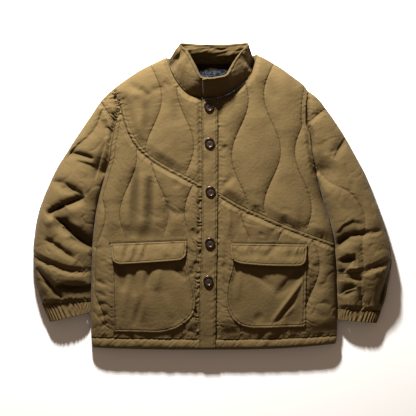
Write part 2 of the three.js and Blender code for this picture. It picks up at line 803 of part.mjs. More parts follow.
// Back: a flat padded panel and its hem band, whose rims curl up a little.
function buildBack() {
  const shares = [0, 0.02, 0.05, 0.15, 0.3, 0.42, 0.5, 0.58, 0.7, 0.85, 0.95, 0.98, 1];
  const columns = shares.map((share) => ({
    x: (y) => lerp(sideX("left", y), sideX("right", y), share),
  }));
  const neck = join(spline(SHOULDERS.left), join(spline(BACK_NECK), spline(SHOULDERS.right)));
  const seam = hemEdge("seam", HEM_LEFT.x, HEM_RIGHT.x);
  const bottom = hemEdge("bottom", HEM_CORNERS.left, HEM_CORNERS.right);
  const rows = sharesOf([...BACK_ROWS, ...ARMHOLE_ROWS], HEM_LEFT.seam, TIP_Y);
  const corner = [BACK_NECK[0], BACK_NECK.at(-1)];
  const patterns = {
    back_panel: pattern({ bottom: seam, top: neck, columns, rows, corner }),
    back_hem_band: pattern({ bottom, top: seam, columns, rows: [0, 0.3, 1] }),
  };
  for (const [name, flat] of Object.entries(patterns)) {
    const grid = inset(flat);
    const curl = ({ x, y }) => {
      const fromSide = Math.min(x - sideX("left", y), sideX("right", y) - x);
      const toRim = Math.min(fromSide, nearest(TOP_EDGE, x, y).distance);
      return BACK_CURL * (1 - smoothstep(toRim, 0, BACK_CURL_WIDTH));
    };
    add(name, wall(withHeight(grid, () => BACK_THICK), withHeight(grid, curl)), CLOTH_SHADE);
  }
}

// Fronts: an upper and a lower panel on each side of the placket, and a hem band under them.
function buildFronts() {
  const side = { left: (y) => sideX("left", y), right: (y) => sideX("right", y) };
  const placket = { left: (y) => plackX("left", y), right: (y) => plackX("right", y) };
  const yoke = { left: spline(YOKES.left), right: spline(YOKES.right) };
  const steepX = (y) => lastWhere(part(yoke.left, 0, STEEP_SHARE), (point) => point.y > y).x;
  const steepEnd = yoke.left(STEEP_SHARE).y;
  const leftUpper = pattern({
    bottom: part(yoke.left, STEEP_SHARE, 1),
    top: join(spline(SHOULDERS.left), spline(NECKLINES.left)),
    columns: quiltColumns(
      (y) => (y > NOTCH_Y ? side.left(y) : steepX(y)),
      QUILT_LINES.leftUpper,
      placket.left,
      [PLAIN, PLAIN, PLAIN],
    ),
    rows: sharesOf([steepEnd, ...LEFT_UPPER_ROWS, ...ARMHOLE_ROWS.slice(6)], steepEnd, TIP_Y),
    corner: [NECKLINES.left[0]],
  });
  const rightStart = YOKES.right.at(-1).y;
  const rightUpper = pattern({
    bottom: yoke.right,
    top: join(spline(NECKLINES.right), spline(SHOULDERS.right)),
    columns: quiltColumns(placket.right, QUILT_LINES.rightUpper, side.right, [
      PLAIN,
      PLAIN,
      PLAIN,
      TO_SIDE,
    ]),
    rows: sharesOf([rightStart, ...RIGHT_UPPER_ROWS, ...ARMHOLE_ROWS], rightStart, TIP_Y),
    corner: [SHOULDERS.right[0]],
  });
  const leftLower = pattern({
    bottom: hemEdge("seam", HEM_LEFT.x, PLACKET_END.left),
    top: yoke.left,
    columns: quiltColumns(side.left, QUILT_LINES.leftLower, placket.left, [
      FROM_SIDE,
      ALONG_YOKE,
      PLAIN,
      PLAIN,
      PLAIN,
    ]),
    rows: sharesOf([...LEFT_LOWER_ROWS, ...ARMHOLE_ROWS.slice(0, 7)], HEM_LEFT.seam, NOTCH_Y),
  });
  const rightLower = pattern({
    bottom: hemEdge("seam", PLACKET_END.right, HEM_RIGHT.x),
    top: yoke.right,
    columns: quiltColumns(placket.right, QUILT_LINES.rightLower, side.right, [
      PLAIN,
      PLAIN,
      PLAIN,
      TO_SIDE,
    ]),
    rows: rowShares(12),
  });
  paddedWall(leftUpper, bodyForm, "right_front_upper");
  paddedWall(rightUpper, bodyForm, "left_front_upper");
  buildPocket("left", "right", paddedWall(leftLower, bodyForm, "right_front_lower"));
  buildPocket("right", "left", paddedWall(rightLower, bodyForm, "left_front_lower"));

  const band = (name, seam, bottom, left, right, across) => {
    const columns = across.map((share) => ({ x: (y) => lerp(left(y), right(y), share) }));
    const rows = HEM_BAND_UP.map(({ share }) => share);
    const grid = pattern({ bottom, top: seam, columns, rows });
    for (const column of grid) column.forEach((point, j) => (point.padding = HEM_BAND_UP[j].rise));
    paddedWall(grid, bodyForm, name);
  };
  band(
    "right_front_hem",
    hemEdge("seam", HEM_LEFT.x, PLACKET_END.left),
    hemEdge("bottom", HEM_CORNERS.left, PLACKET_END.left),
    side.left,
    placket.left,
    HEM_BAND_ACROSS,
  );
  band(
    "left_front_hem",
    hemEdge("seam", PLACKET_END.right, HEM_RIGHT.x),
    hemEdge("bottom", PLACKET_END.right, HEM_CORNERS.right),
    placket.right,
    side.right,
    HEM_BAND_ACROSS.map((share) => 1 - share).reverse(),
  );
}

// Placket: the overlapping front edge, from the neck seam to the hem, a little proud of the fronts.
function buildPlacket() {
  const { left, right, y: endY } = PLACKET_END;
  const bottom = (share) => ({ x: lerp(left, right, share), y: endY });
  const top = spline([NECKLINES.left.at(-1), NECKLINES.right[0]]);
  const columns = [0, 0.12, 0.5, 0.88, 1].map((share) => ({
    x: (y) => lerp(plackX("left", y), plackX("right", y), share),
    puff: () => (share === 0 || share === 1 ? PLACKET_RAISE.edge : PLACKET_RAISE.middle),
  }));
  const grid = pattern({ bottom, top, columns, rows: rowShares(24) });
  return paddedWall(grid, bodyForm, "button_placket");
}

function buildPocket(side, wearer, panel) {
  const { area, bag, flap, welt } = POCKETS[side];
  const middleX = (area.left + area.right) / 2;
  const middleY = (area.bottom + area.top) / 2;
  const bulge = (x, y) => {
    const acrossX = 1 - ((x - middleX) / (area.right - middleX)) ** 2;
    const acrossY = 1 - ((y - middleY) / (area.top - middleY)) ** 2;
    return POCKET_BULGE * Math.max(0, acrossX) * Math.max(0, acrossY);
  };
  const flapLift = (x, y) => {
    const down = area.top - FLAP_STITCH - y;
    const stand = FLAP_STAND * smoothstep(down, 0, FLAP_REACH.stand);
    return CLEAR + stand + FLAP_FLARE * smoothstep(down, FLAP_REACH.flareFrom, FLAP_REACH.flareFull);
  };
  const lift = (amount) => () => amount;
  const bagTop = (x, y) => CLEAR + POCKET_CLOTH + bulge(x, y);
  const flapLow = (x, y) => flapLift(x, y) + bulge(x, y);
  const flapTop = (x, y) => flapLow(x, y) + POCKET_CLOTH;
  const weltTop = lift(CLEAR + WELT_CLOTH);
  add(wearer + "_pocket", cutFromLayer(panel, bag, lift(CLEAR), bagTop), CLOTH);
  add(wearer + "_pocket_flap", cutFromLayer(panel, flap, flapLow, flapTop), CLOTH);
  add(wearer + "_pocket_welt", cutFromLayer(panel, welt, lift(CLEAR), weltTop), CLOTH_SHADE);
}

// A four-sided patch between two edges that run down the sleeve and two that cross it.
function patch({ start, end, outer, inner, across, along, bend = (share) => share }) {
  return across.map((share) =>
    along.map((v) => {
      const u = bend(share, v);
      const [a, b, c, d] = [start(u), end(u), outer(v), inner(v)];
      const [p, q, r, s] = [start(0), start(1), end(0), end(1)];
      const blend = (k) => {
        const corners = lerp(lerp(p[k], q[k], u), lerp(r[k], s[k], u), v);
        return lerp(a[k], b[k], v) + lerp(c[k], d[k], u) - corners;
      };
      return { x: blend("x"), y: blend("y") };
    }),
  );
}

function buildSleeve(side, wearer) {
  const { outer, inner, quilt, capRow, elbowRow, innerElbowRow, elbow, cuffEnd } = SLEEVES[side];
  const form = (x, y, wallInset) => sleeveForm(side, x, y, wallInset);
  const tip = outer[0];
  const capEnd = { x: sideX(side, CAP_Y), y: CAP_Y };
  const capSeam = spline([outer[capRow], capEnd]);
  const elbowSeam = spline(elbow);
  const cuffSeam = spline([outer.at(-1), inner.at(-1)]);
  const stretch = (path, from, to) =>
    part(spline(path), from / (path.length - 1), to / (path.length - 1));
  const capToUnderarm = sharesOf([...ARMHOLE_ROWS].reverse().slice(5), CAP_Y, UNDERARM_Y);
  const across = [0, 0.06, 0.16, 0.32, 0.5, ...capToUnderarm.map((share) => 0.5 + share / 2)];
  const lineColumn = QUILT_START[side];
  const lineShare = across[lineColumn];
  const bend = (from) => (share, v) => {
    const line = between(quilt, "down", "across", from + v);
    if (share <= lineShare) return (share * line) / lineShare;
    return 1 - ((1 - share) * (1 - line)) / (1 - lineShare);
  };

  const cap = patch({
    start: capSeam,
    end: bodyEdge(side, tip.y, NOTCH_Y),
    outer: stretch(outer, capRow, 0),
    inner: bodyEdge(side, CAP_Y, NOTCH_Y),
    across: [0, ...sharesOf([237], TIP_Y, NOTCH_Y), 1],
    along: [0, ...sharesOf([197], CAP_Y, NOTCH_Y), 1],
  });
  const upper = patch({
    start: join(capSeam, bodyEdge(side, CAP_Y, UNDERARM_Y)),
    end: elbowSeam,
    outer: stretch(outer, capRow, elbowRow),
    inner: stretch(inner, 0, innerElbowRow),
    across,
    along: rowShares(13),
    bend: bend(0),
  });
  const forearm = patch({
    start: elbowSeam,
    end: cuffSeam,
    outer: stretch(outer, elbowRow, outer.length - 1),
    inner: stretch(inner, innerElbowRow, inner.length - 1),
    across,
    along: rowShares(7),
    bend: bend(1),
  });
  const arch = (share) => {
    const t = share < lineShare ? share / lineShare : (share - lineShare) / (1 - lineShare);
    return SLEEVE_PUFF * Math.abs(Math.sin(Math.PI * t)) ** 0.7;
  };
  const padded = (grid, name, dip, puff) => {
    grid.forEach((column, i) =>
      column.forEach((point, j) => {
        point.padding = j === 0 || j === column.length - 1 ? -dip : puff(across[i]);
      }),
    );
    paddedWall(counterClockwise(grid), form, wearer + name);
  };
  padded(cap, "_sleeve_cap", CAP_DIP, () => SLEEVE_PUFF / 2);
  padded(upper, "_sleeve_upper", SEAM_DIP, arch);
  padded(forearm, "_sleeve_forearm", SEAM_DIP, arch);

  const under = counterClockwise(
    patch({
      start: bodyEdge(side, TIP_Y, UNDERARM_Y),
      end: cuffSeam,
      outer: spline(outer),
      inner: spline(inner),
      across: sharesOf([...ARMHOLE_ROWS].reverse(), TIP_Y, UNDERARM_Y),
      along: rowShares(16),
    }),
  );
  const drawn = inset(under);
  const curl = ({ x, y }) => {
    const toRim = Math.min(nearest(outer, x, y).distance, nearest(inner, x, y).distance);
    return BACK_CURL * (1 - smoothstep(toRim, 0, BACK_CURL_WIDTH));
  };
  const underside = wall(withHeight(drawn, () => BACK_THICK), withHeight(drawn, curl));
  add(wearer + "_under_sleeve", underside, CLOTH_SHADE);
  buildCuff(wearer, outer.at(-1), inner.at(-1), cuffEnd);
}

// Columns in the order that makes the patch run anticlockwise as seen from above.
function counterClockwise(grid) {
  const a = grid[0][0];
  const b = grid.at(-1)[0];
  const c = grid[0].at(-1);
  const turn = (b.x - a.x) * (c.y - a.y) - (b.y - a.y) * (c.x - a.x);
  return turn < 0 ? [...grid].reverse() : grid;
}

function buildCuff(wearer, outerTop, innerTop, cuffEnd) {
  const { height, wall: thick, gathers, gatherDepth, gap } = CUFF;
  const toward = (a, b, length) => {
    const full = Math.hypot(b.x - a.x, b.y - a.y);
    return { x: a.x + ((b.x - a.x) * length) / full, y: a.y + ((b.y - a.y) * length) / full };
  };
  const from = [toward(outerTop, cuffEnd.outer, gap), toward(innerTop, cuffEnd.inner, gap)];
  const to = [cuffEnd.outer, cuffEnd.inner];
  const steps = gathers * 2;
  const ringPoint = (k, along, inwards) => {
    const angle = (2 * Math.PI * k) / steps;
    const rise = k % 2 === 0 ? gatherDepth : -gatherDepth;
    const ends = [0, 1].map((e) => ({
      x: lerp(from[e].x, to[e].x, along),
      y: lerp(from[e].y, to[e].y, along),
    }));
    const half = Math.hypot(ends[1].x - ends[0].x, ends[1].y - ends[0].y) / 2;
    const reach = (half - inwards + rise * CUFF_SIDE_GATHER) / half;
    const turn = Math.cos(angle);
    const acrossShare = 0.5 + 0.5 * reach * Math.sign(turn) * Math.abs(turn) ** CUFF_FLATTENING;
    const tall = height / 2 - inwards;
    const z = height / 2 + Math.sin(angle) * (tall + (Math.sin(angle) > 0 ? rise : 0));
    return {
      x: lerp(ends[0].x, ends[1].x, acrossShare),
      y: lerp(ends[0].y, ends[1].y, acrossShare),
      z: Math.max(z, inwards),
    };
  };
  const column = (k, inwards) => [0, 0.5, 1].map((along) => ringPoint(k, along, inwards));
  const layer = (inwards) => Array.from({ length: steps }, (_, k) => column(k, inwards));
  add(wearer + "_cuff", wall(layer(0), layer(thick), true), CLOTH);
}

// Collar: sections round the neck, smoothed between the rows of its table.
function buildCollar() {
  const rows = COLLAR.map((row, k) => ({ ...row, k }));
  const column = (name, k) => between(rows, "k", name, k);
  const last = rows.length - 1;
  const seam = (k) => {
    const a = clamp(k - 0.2, 0, last);
    const b = clamp(k + 0.2, 0, last);
    const runX = column("seamX", b) - column("seamX", a);
    const runY = column("seamY", b) - column("seamY", a);
    const outX = -runY / Math.hypot(runX, runY);
    const outY = runX / Math.hypot(runX, runY);
    const x = column("seamX", k) - outX * COLLAR_SEAT;
    const y = column("seamY", k) - outY * COLLAR_SEAT;
    return { x, y, outX, outY };
  };
  const middle = Array.from({ length: COLLAR_SECTIONS + 1 }, (_, i) => {
    const k = (i / COLLAR_SECTIONS) * last;
    const base = seam(k);
    const onBack = smoothstep(base.y, BACK_NECK_FROM, BACK_NECK_FULL);
    const baseZ = lerp(bodyForm(base.x, base.y) - COLLAR_SINK, COLLAR_ON_BACK, onBack);
    const under = column("under", k);
    return COLLAR_UP.map((h) => {
      const bow = COLLAR_BULGE * Math.sin(Math.PI * h) ** 2;
      return new THREE.Vector3(
        lerp(base.x, column("topX", k), h) + bow * base.outX,
        lerp(base.y, column("topY", k), h) + bow * base.outY + under * COLLAR_LAP.back,
        lerp(baseZ, column("topZ", k), h) + bow - under * COLLAR_LAP.down,
      );
    });
  });
  const at = (i, j) => middle[clamp(i, 0, COLLAR_SECTIONS)][clamp(j, 0, COLLAR_UP.length - 1)];
  const side = (amount) =>
    middle.map((section, i) =>
      section.map((point, j) => {
        const around = at(i + 1, j).clone().sub(at(i - 1, j));
        const up = at(i, j + 1).clone().sub(at(i, j - 1));
        return point.clone().addScaledVector(around.cross(up).normalize(), amount);
      }),
    );
  add("collar", wall(side(-COLLAR_WALL / 2), side(COLLAR_WALL / 2)), CLOTH);
}

// Strip and facing on the inside of the back, seen through the neck.
function buildNeck() {
  const piece = (name, left, right, drops, material) => {
    const grid = Array.from({ length: NECK_COLUMNS }, (_, k) => {
      const x = lerp(left, right, k / (NECK_COLUMNS - 1));
      return drops.map((drop) => ({ x, y: between(BACK_NECK, "x", "y", x) - drop }));
    });
    const low = BACK_THICK + CLEAR;
    const high = low + NECK_CLOTH;
    add(name, wall(withHeight(grid, () => high), withHeight(grid, () => low)), material);
  };
  const { left, right, from, middle, to } = NECK_LINING;
  piece("neck_tape", NECK_TAPE.left, NECK_TAPE.right, [NECK_TAPE.from, NECK_TAPE.to], TAPE);
  piece("neck_lining", left, right, [from, middle, to], LINING);
}

// Ring snaps: a rounded ring round a sunken disc, level, on the highest point under each.
function buildButtons(placket) {
  const turned = (profile) => {
    const outline = profile.map(({ radius, height }) => new THREE.Vector2(radius, height));
    const lathe = new THREE.LatheGeometry(outline, RING_SIDES);
    lathe.deleteAttribute("normal");
    lathe.deleteAttribute("uv");
    return mergeVertices(lathe.rotateX(Math.PI / 2), 1e-4);
  };
  BUTTONS.forEach(({ x, y }, k) => {
    const near = placket.flat().filter((p) => Math.abs(p.y - y) < BUTTON_SEAT);
    const seat = Math.max(...near.map((p) => p.z)) + CLEAR;
    add("button_rim_" + (k + 1), turned(RING).translate(x, y, seat), COPPER);
    add("button_centre_" + (k + 1), turned(CENTRE).translate(x, y, seat), BROWN);
  });
}

buildBack();
buildFronts();
buildButtons(buildPlacket());
buildSleeve("left", "right");
buildSleeve("right", "left");
buildCollar();
buildNeck();

export default garment;
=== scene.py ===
# %% [markdown]
# A quilted blouson, laid flat on its back and photographed from straight above. The real jacket is sewn
# from padded panels: two layers of cloth with filling between them, held by wavy lines of stitching.
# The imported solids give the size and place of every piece. Each cell below makes one piece finer, on
# the same outline, so that quilting, seams and creases can be seen.

import math

import bpy
import numpy as np
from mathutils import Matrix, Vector


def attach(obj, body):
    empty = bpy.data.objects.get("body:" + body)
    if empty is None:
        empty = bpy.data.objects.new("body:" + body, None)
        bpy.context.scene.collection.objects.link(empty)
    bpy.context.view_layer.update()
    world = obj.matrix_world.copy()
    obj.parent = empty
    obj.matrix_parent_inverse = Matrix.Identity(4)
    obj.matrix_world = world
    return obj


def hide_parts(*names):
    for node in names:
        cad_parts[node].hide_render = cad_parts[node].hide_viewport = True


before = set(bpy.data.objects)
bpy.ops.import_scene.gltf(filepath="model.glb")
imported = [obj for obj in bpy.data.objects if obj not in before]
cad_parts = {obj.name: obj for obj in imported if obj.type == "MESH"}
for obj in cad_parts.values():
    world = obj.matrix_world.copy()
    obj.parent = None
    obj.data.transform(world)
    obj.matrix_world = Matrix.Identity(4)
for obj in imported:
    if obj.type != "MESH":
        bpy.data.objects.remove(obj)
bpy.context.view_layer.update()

# %% [markdown]
# The camera hangs five metres above the jacket, so that the raised collar is hardly enlarged, and its
# lens takes in just under a metre at the middle level of the jacket. The key light is a small panel that
# stands beyond the collar, a little to the left: it gives the clear shadow below the hem, and its light
# falls off towards the hem as it does in the photograph. A dim warm sky fills the shade.

# %% Camera, lights and floor
METRE = 0.001
FRAME_WIDTH = 0.9984
SENSOR_WIDTH = 36
MIDDLE_LEVEL = 0.025
CAMERA = {"x": -0.0108, "y": -0.0276, "z": 5.0}
KEY = {"place": (-0.34, 1.5, 0.82), "size": 0.15, "power": 126}
SKY = {"colour": (1.0, 0.74, 0.55, 1), "strength": 0.2}

camera_data = bpy.data.cameras.new("camera")
camera_data.lens = SENSOR_WIDTH * (CAMERA["z"] - MIDDLE_LEVEL) / FRAME_WIDTH
camera_data.sensor_width = SENSOR_WIDTH
camera_data.clip_end = 50
camera = bpy.data.objects.new("camera", camera_data)
camera.location = CAMERA["x"], CAMERA["y"], CAMERA["z"]
bpy.context.collection.objects.link(camera)
bpy.context.scene.camera = camera

key_data = bpy.data.lights.new("key", "AREA")
key_data.energy = KEY["power"]
key_data.size = KEY["size"]
key_data.color = 1.0, 0.985, 0.96
key = bpy.data.objects.new("key", key_data)
key.location = KEY["place"]
key.rotation_euler = (-Vector(KEY["place"])).to_track_quat("-Z", "Y").to_euler()
bpy.context.collection.objects.link(key)

world = bpy.data.worlds.new("studio")
world.use_nodes = True
sky = world.node_tree.nodes["Background"]
sky.inputs["Color"].default_value = SKY["colour"]
sky.inputs["Strength"].default_value = SKY["strength"]
bpy.context.scene.world = world
bpy.context.scene.view_settings.view_transform = "Standard"

bpy.ops.object.select_all(action="DESELECT")
bpy.ops.mesh.primitive_plane_add(size=6, location=(0, 0, -0.0004))
floor = bpy.context.object
floor.name = "floor"
bpy.ops.object.transform_apply(location=True, rotation=True, scale=True)
print("camera, key light, sky and floor")

# %% [markdown]
# Sizes come first. The tables below are in millimetres and have one row for each place along a seam or
# an edge: x runs to the right as seen from above, y towards the collar. Left and right are as seen.

# %% Tables and smooth values between their rows


def table(columns, *rows):
    return dict(zip(columns.split(), np.array(rows, float).T))


def between(rows, key, column, value):
    """Smooth value of one column between rows that are in order of the key column."""
    k, c = rows[key], rows[column]
    slope = np.empty_like(c)
    slope[1:-1] = (c[2:] - c[:-2]) / (k[2:] - k[:-2])
    slope[0] = (c[1] - c[0]) / (k[1] - k[0])
    slope[-1] = (c[-1] - c[-2]) / (k[-1] - k[-2])
    way = np.sign(k[1] - k[0])
    value = np.asarray(value, float)
    row = np.clip(np.searchsorted(way * k, way * value) - 1, 0, len(k) - 2)
    span = k[row + 1] - k[row]
    t = np.clip((value - k[row]) / span, 0, 1)
    rise = (t - 2 * t**2 + t**3) * slope[row] + (t**3 - t**2) * slope[row + 1]
    return c[row] + (c[row + 1] - c[row]) * (3 * t**2 - 2 * t**3) + span * rise


def lerp(a, b, t):
    return a + (b - a) * t


def smoothstep(value, low, high):
    t = np.clip((value - low) / (high - low), 0, 1)
    return t * t * (3 - 2 * t)


def crowded(count, ease=0.7):
    """Shares from 0 to 1 that lie closer together near both ends."""
    even = np.linspace(0, 1, count + 1)
    return lerp(even, (1 - np.cos(math.pi * even)) / 2, ease)


def roll(distance, width):
    """Rounds up like a quarter of an ellipse: 0 at an edge, 1 at the full width."""
    return np.sqrt(1 - (1 - np.clip(distance / width, 0, 1)) ** 2)


BODY_SIDES = table(
    "y left right",
    (254, -244, 229),
    (220, -221, 224),
    (175, -232, 224),
    (150, -237, 233),
    (124, -242, 236),
    (90, -246, 242),
    (59, -256, 248),
    (25, -266, 257),
    (-8, -275, 265),
    (-56, -283, 282),
    (-104, -288, 292),
    (-157, -290, 296),
    (-248, -292, 299),
    (-334, -292, 299),
    (-366, -288, 293),
)
PLACKET = table(
    "y left right", (240, -25, 13), (0, -25, 13), (-150, -27, 11), (-230, -31, 9), (-370, -32, 8)
)
HEM = table(
    "x seam bottom",
    (-292, -338, -363),
    (-150, -341, -367),
    (0, -343, -368),
    (162, -341, -365),
    (299, -334, -354),
)
BODY_HEIGHTS = table(
    "y crest", (340, 34), (200, 38), (0, 38), (-200, 37), (-300, 33), (-340, 28), (-368, 26)
)
SLEEVE_HEIGHTS = table(
    "y crest", (256, 38), (120, 42), (0, 48), (-120, 51), (-200, 48), (-250, 34), (-280, 31)
)
print("rows of the body's sides:", len(BODY_SIDES["y"]))

# %% [markdown]
# The seams that bound the panels come next: shoulders, neck and the slanted yoke seam. Each is a short
# list of places in millimetres with a smooth curve through them. A traced drawing would do as well, but
# a curve through few points stays even, as a seam cut along a pattern does.

# %% Paths of the shoulders, the neck and the slanted yoke seam
SHOULDER_LEFT = [(-244, 254), (-222, 271), (-196, 289), (-162, 310), (-109, 335)]
SHOULDER_RIGHT = [(104, 342), (131, 329), (162, 310), (191, 289), (217, 270), (229, 254)]
NECKLINE_LEFT = [(-109, 335), (-102, 308), (-90, 282), (-73, 258), (-54, 242), (-25, 233)]
NECKLINE_RIGHT = [(13, 237), (42, 247), (71, 268), (90, 289), (100, 318), (104, 342)]
BACK_NECK = [(-109, 335), (-78, 328), (-42, 323), (0, 322), (47, 324), (80, 332), (104, 342)]
YOKE_LEFT = [
    (-221, 220),
    (-213, 186),
    (-201, 151),
    (-181, 118),
    (-150, 88),
    (-112, 64),
    (-73, 44),
    (-25, 18),
]
YOKE_RIGHT = [(13, 0), (66, -31), (121, -55), (176, -79), (227, -98), (258, -109), (293, -121)]
TOP_EDGE = SHOULDER_LEFT + SHOULDER_RIGHT
HEM_SEAM_ENDS = -292, 299
HEM_BOTTOM_ENDS = -288, 294
PLACKET_FOOT = -32, 8
ARMHOLE_TOP_Y, UNDERARM_Y = 254, 59
FAR = 60
SEAM_INSET = 0.25
FOOT = 7.35
EDGE_HEIGHT = 14
WALL = 5.5
LEAST_WALL = 4


def spline(points):
    """A smooth curve through points, as a function of a share from 0 to 1."""
    p = np.array(points, float)
    n = len(p)

    def at(s):
        where = np.clip(np.asarray(s, float), 0, 1) * (n - 1)
        i = np.minimum(where.astype(int), n - 2)
        t = (where - i)[..., None]
        a, b = p[np.maximum(i - 1, 0)], p[i]
        c, d = p[i + 1], p[np.minimum(i + 2, n - 1)]
        v, w = (c - a) / 2, (d - b) / 2
        return (2 * b - 2 * c + v + w) * t**3 + (3 * c - 3 * b - 2 * v - w) * t**2 + v * t + b

    return at


def nearest(path, x, y):
    """Distance to a path, and the length along it to its nearest point."""
    p = np.asarray(path, float)
    best = np.full(np.shape(x), np.inf)
    along = np.zeros(np.shape(x))
    start = 0.0
    for a, b in zip(p[:-1], p[1:]):
        d = b - a
        length = math.hypot(*d)
        if length == 0:
            continue
        t = np.clip(((x - a[0]) * d[0] + (y - a[1]) * d[1]) / length**2, 0, 1)
        off = np.hypot(x - a[0] - t * d[0], y - a[1] - t * d[1])
        closer = off < best
        best = np.where(closer, off, best)
        along = np.where(closer, start + t * length, along)
        start += length
    return best, along


def sampled(edge, count=60):
    return edge(np.linspace(0, 1, count + 1))


def side_edge(side, from_y, to_y):
    def at(s):
        y = lerp(from_y, to_y, np.asarray(s, float))
        return np.stack([between(BODY_SIDES, "y", side, y), y], -1)

    return at


def hem_edge(column, from_x, to_x):
    def at(s):
        x = lerp(from_x, to_x, np.asarray(s, float))
        return np.stack([x, between(HEM, "x", column, x)], -1)

    return at


def part(edge, start, end):
    return lambda s: edge(lerp(start, end, np.asarray(s, float)))


def join(first, second):
    def at(s):
        s = np.asarray(s, float)
        return np.where((s < 0.5)[..., None], first(2 * s), second(2 * s - 1))

    return at


ARMHOLE = {side: sampled(side_edge(side, ARMHOLE_TOP_Y, UNDERARM_Y), 30) for side in ("left", "right")}
print("yoke seam points:", len(YOKE_LEFT) + len(YOKE_RIGHT))

# %% [markdown]
# Cloth that lies still is never even. Two kinds of unevenness are used: a soft swell of the filling over
# the width of a hand, and puckers that stand across a line of stitches where the thread draws the cloth
# in. Both are sums of fixed waves, so each run gives the same jacket.

# %% Soft unevenness and puckers


def swell(x, y, size, seed):
    """Smooth unevenness between about -1 and 1 whose bumps are as wide as size."""
    rng = np.random.default_rng(seed)
    total = np.zeros(np.shape(x))
    for _ in range(9):
        turn, phase = rng.uniform(0, 2 * math.pi, 2)
        rate = 2 * math.pi / (size * rng.uniform(1.4, 2.8))
        total = total + np.sin((x * math.cos(turn) + y * math.sin(turn)) * rate + phase)
    return total / 3.2


def ripple(along, period, seed):
    """Uneven waves along a seam, between about -1 and 1."""
    rng = np.random.default_rng(seed)
    total = np.zeros(np.shape(along))
    for share in (0.63, 0.81, 1.0, 1.27, 1.6):
        total = total + np.sin(2 * math.pi * along * share / period + rng.uniform(0, 2 * math.pi))
    return total / 2.6


def puckers(distance, along, period, reach, seed):
    """Ripples across a stitched line that die out away from it."""
    return ripple(along + 4 * ripple(distance, 22, seed + 1), period, seed) * np.exp(-distance / reach)


def tucks(distance, along, period, reach, seed):
    """Sharp little valleys side by side across a seam that gathers the cloth, from 0 to -1."""
    wander = along + 4 * ripple(distance, 23, seed) + 0.5 * period * ripple(along, 3.1 * period, seed + 1)
    valley = 1 - np.abs(np.sin(math.pi * wander / period))
    here = 0.35 + 0.65 * smoothstep(ripple(along + 0.7 * distance, 3.7 * period, seed + 2), -0.5, 0.6)
    own_reach = reach * (0.75 + 0.4 * ripple(along, 1.9 * period, seed + 3))
    return -(valley**1.3) * here * np.exp(-((distance / np.maximum(own_reach, 3)) ** 2))


def crinkles(x, y, size, seed, width=3.0):
    """Short sharp creases here and there, from 0 to -1: they follow the level lines of a swell."""
    field = swell(x, y, size, seed)
    mask = smoothstep(swell(x, y, 1.2 * size, seed + 1), 0.05, 0.6)
    return -np.exp(-np.abs(field) * size / (3.2 * width)) * mask


print("swell at the origin:", round(float(swell(0.0, 0.0, 60, 1)), 3))

# %% [markdown]
# Large folds are listed as the photo shows them: where each starts and ends, how deep it is (a plus sign
# makes a ridge) and how wide. The first table repeats the folds of the solids, the second adds the finer
# creases of the body, and the third those of the hem band. A cloth simulation could make folds as well,
# but it lays them where it likes, and here their places are known.
# Where a sleeve laps over itself the surface drops at once and comes back slowly. The low side lies to
# the left of each path. In that list the first number is the drop, the second how wide the low side is.

# %% Folds and creases
FOLDS = table(
    "x1 y1 x2 y2 depth width",
    (-205, 272, -150, 239, -4, 9),
    (-148, 252, -114, 261, -3, 8),
    (52, 52, 20, 16, -4, 8),
    (-262, 184, -247, 140, -6, 9),
    (-340, 107, -284, 90, -4, 9),
    (-385, 35, -311, 1, -6, 10),
    (-395, -47, -350, -24, -10, 10),
    (-350, -24, -306, -4, -9, 10),
    (-400, -72, -340, -44, 5, 12),
    (-380, -56, -342, -90, -12, 12),
    (-342, -90, -292, -126, -10, 12),
    (-402, -102, -328, -148, -5, 9),
    (-420, -176, -363, -246, -5, 9),
    (-376, -212, -300, -210, -5, 8),
    (284, 92, 318, 146, -4, 13),
    (300, -119, 330, -95, -10, 10),
    (330, -95, 405, -80, -5, 8),
    (306, -157, 345, -147, -9, 10),
    (318, -191, 362, -199, -5, 9),
    (308, -239, 346, -222, -5, 8),
    (398, -262, 410, -210, -5, 8),
)
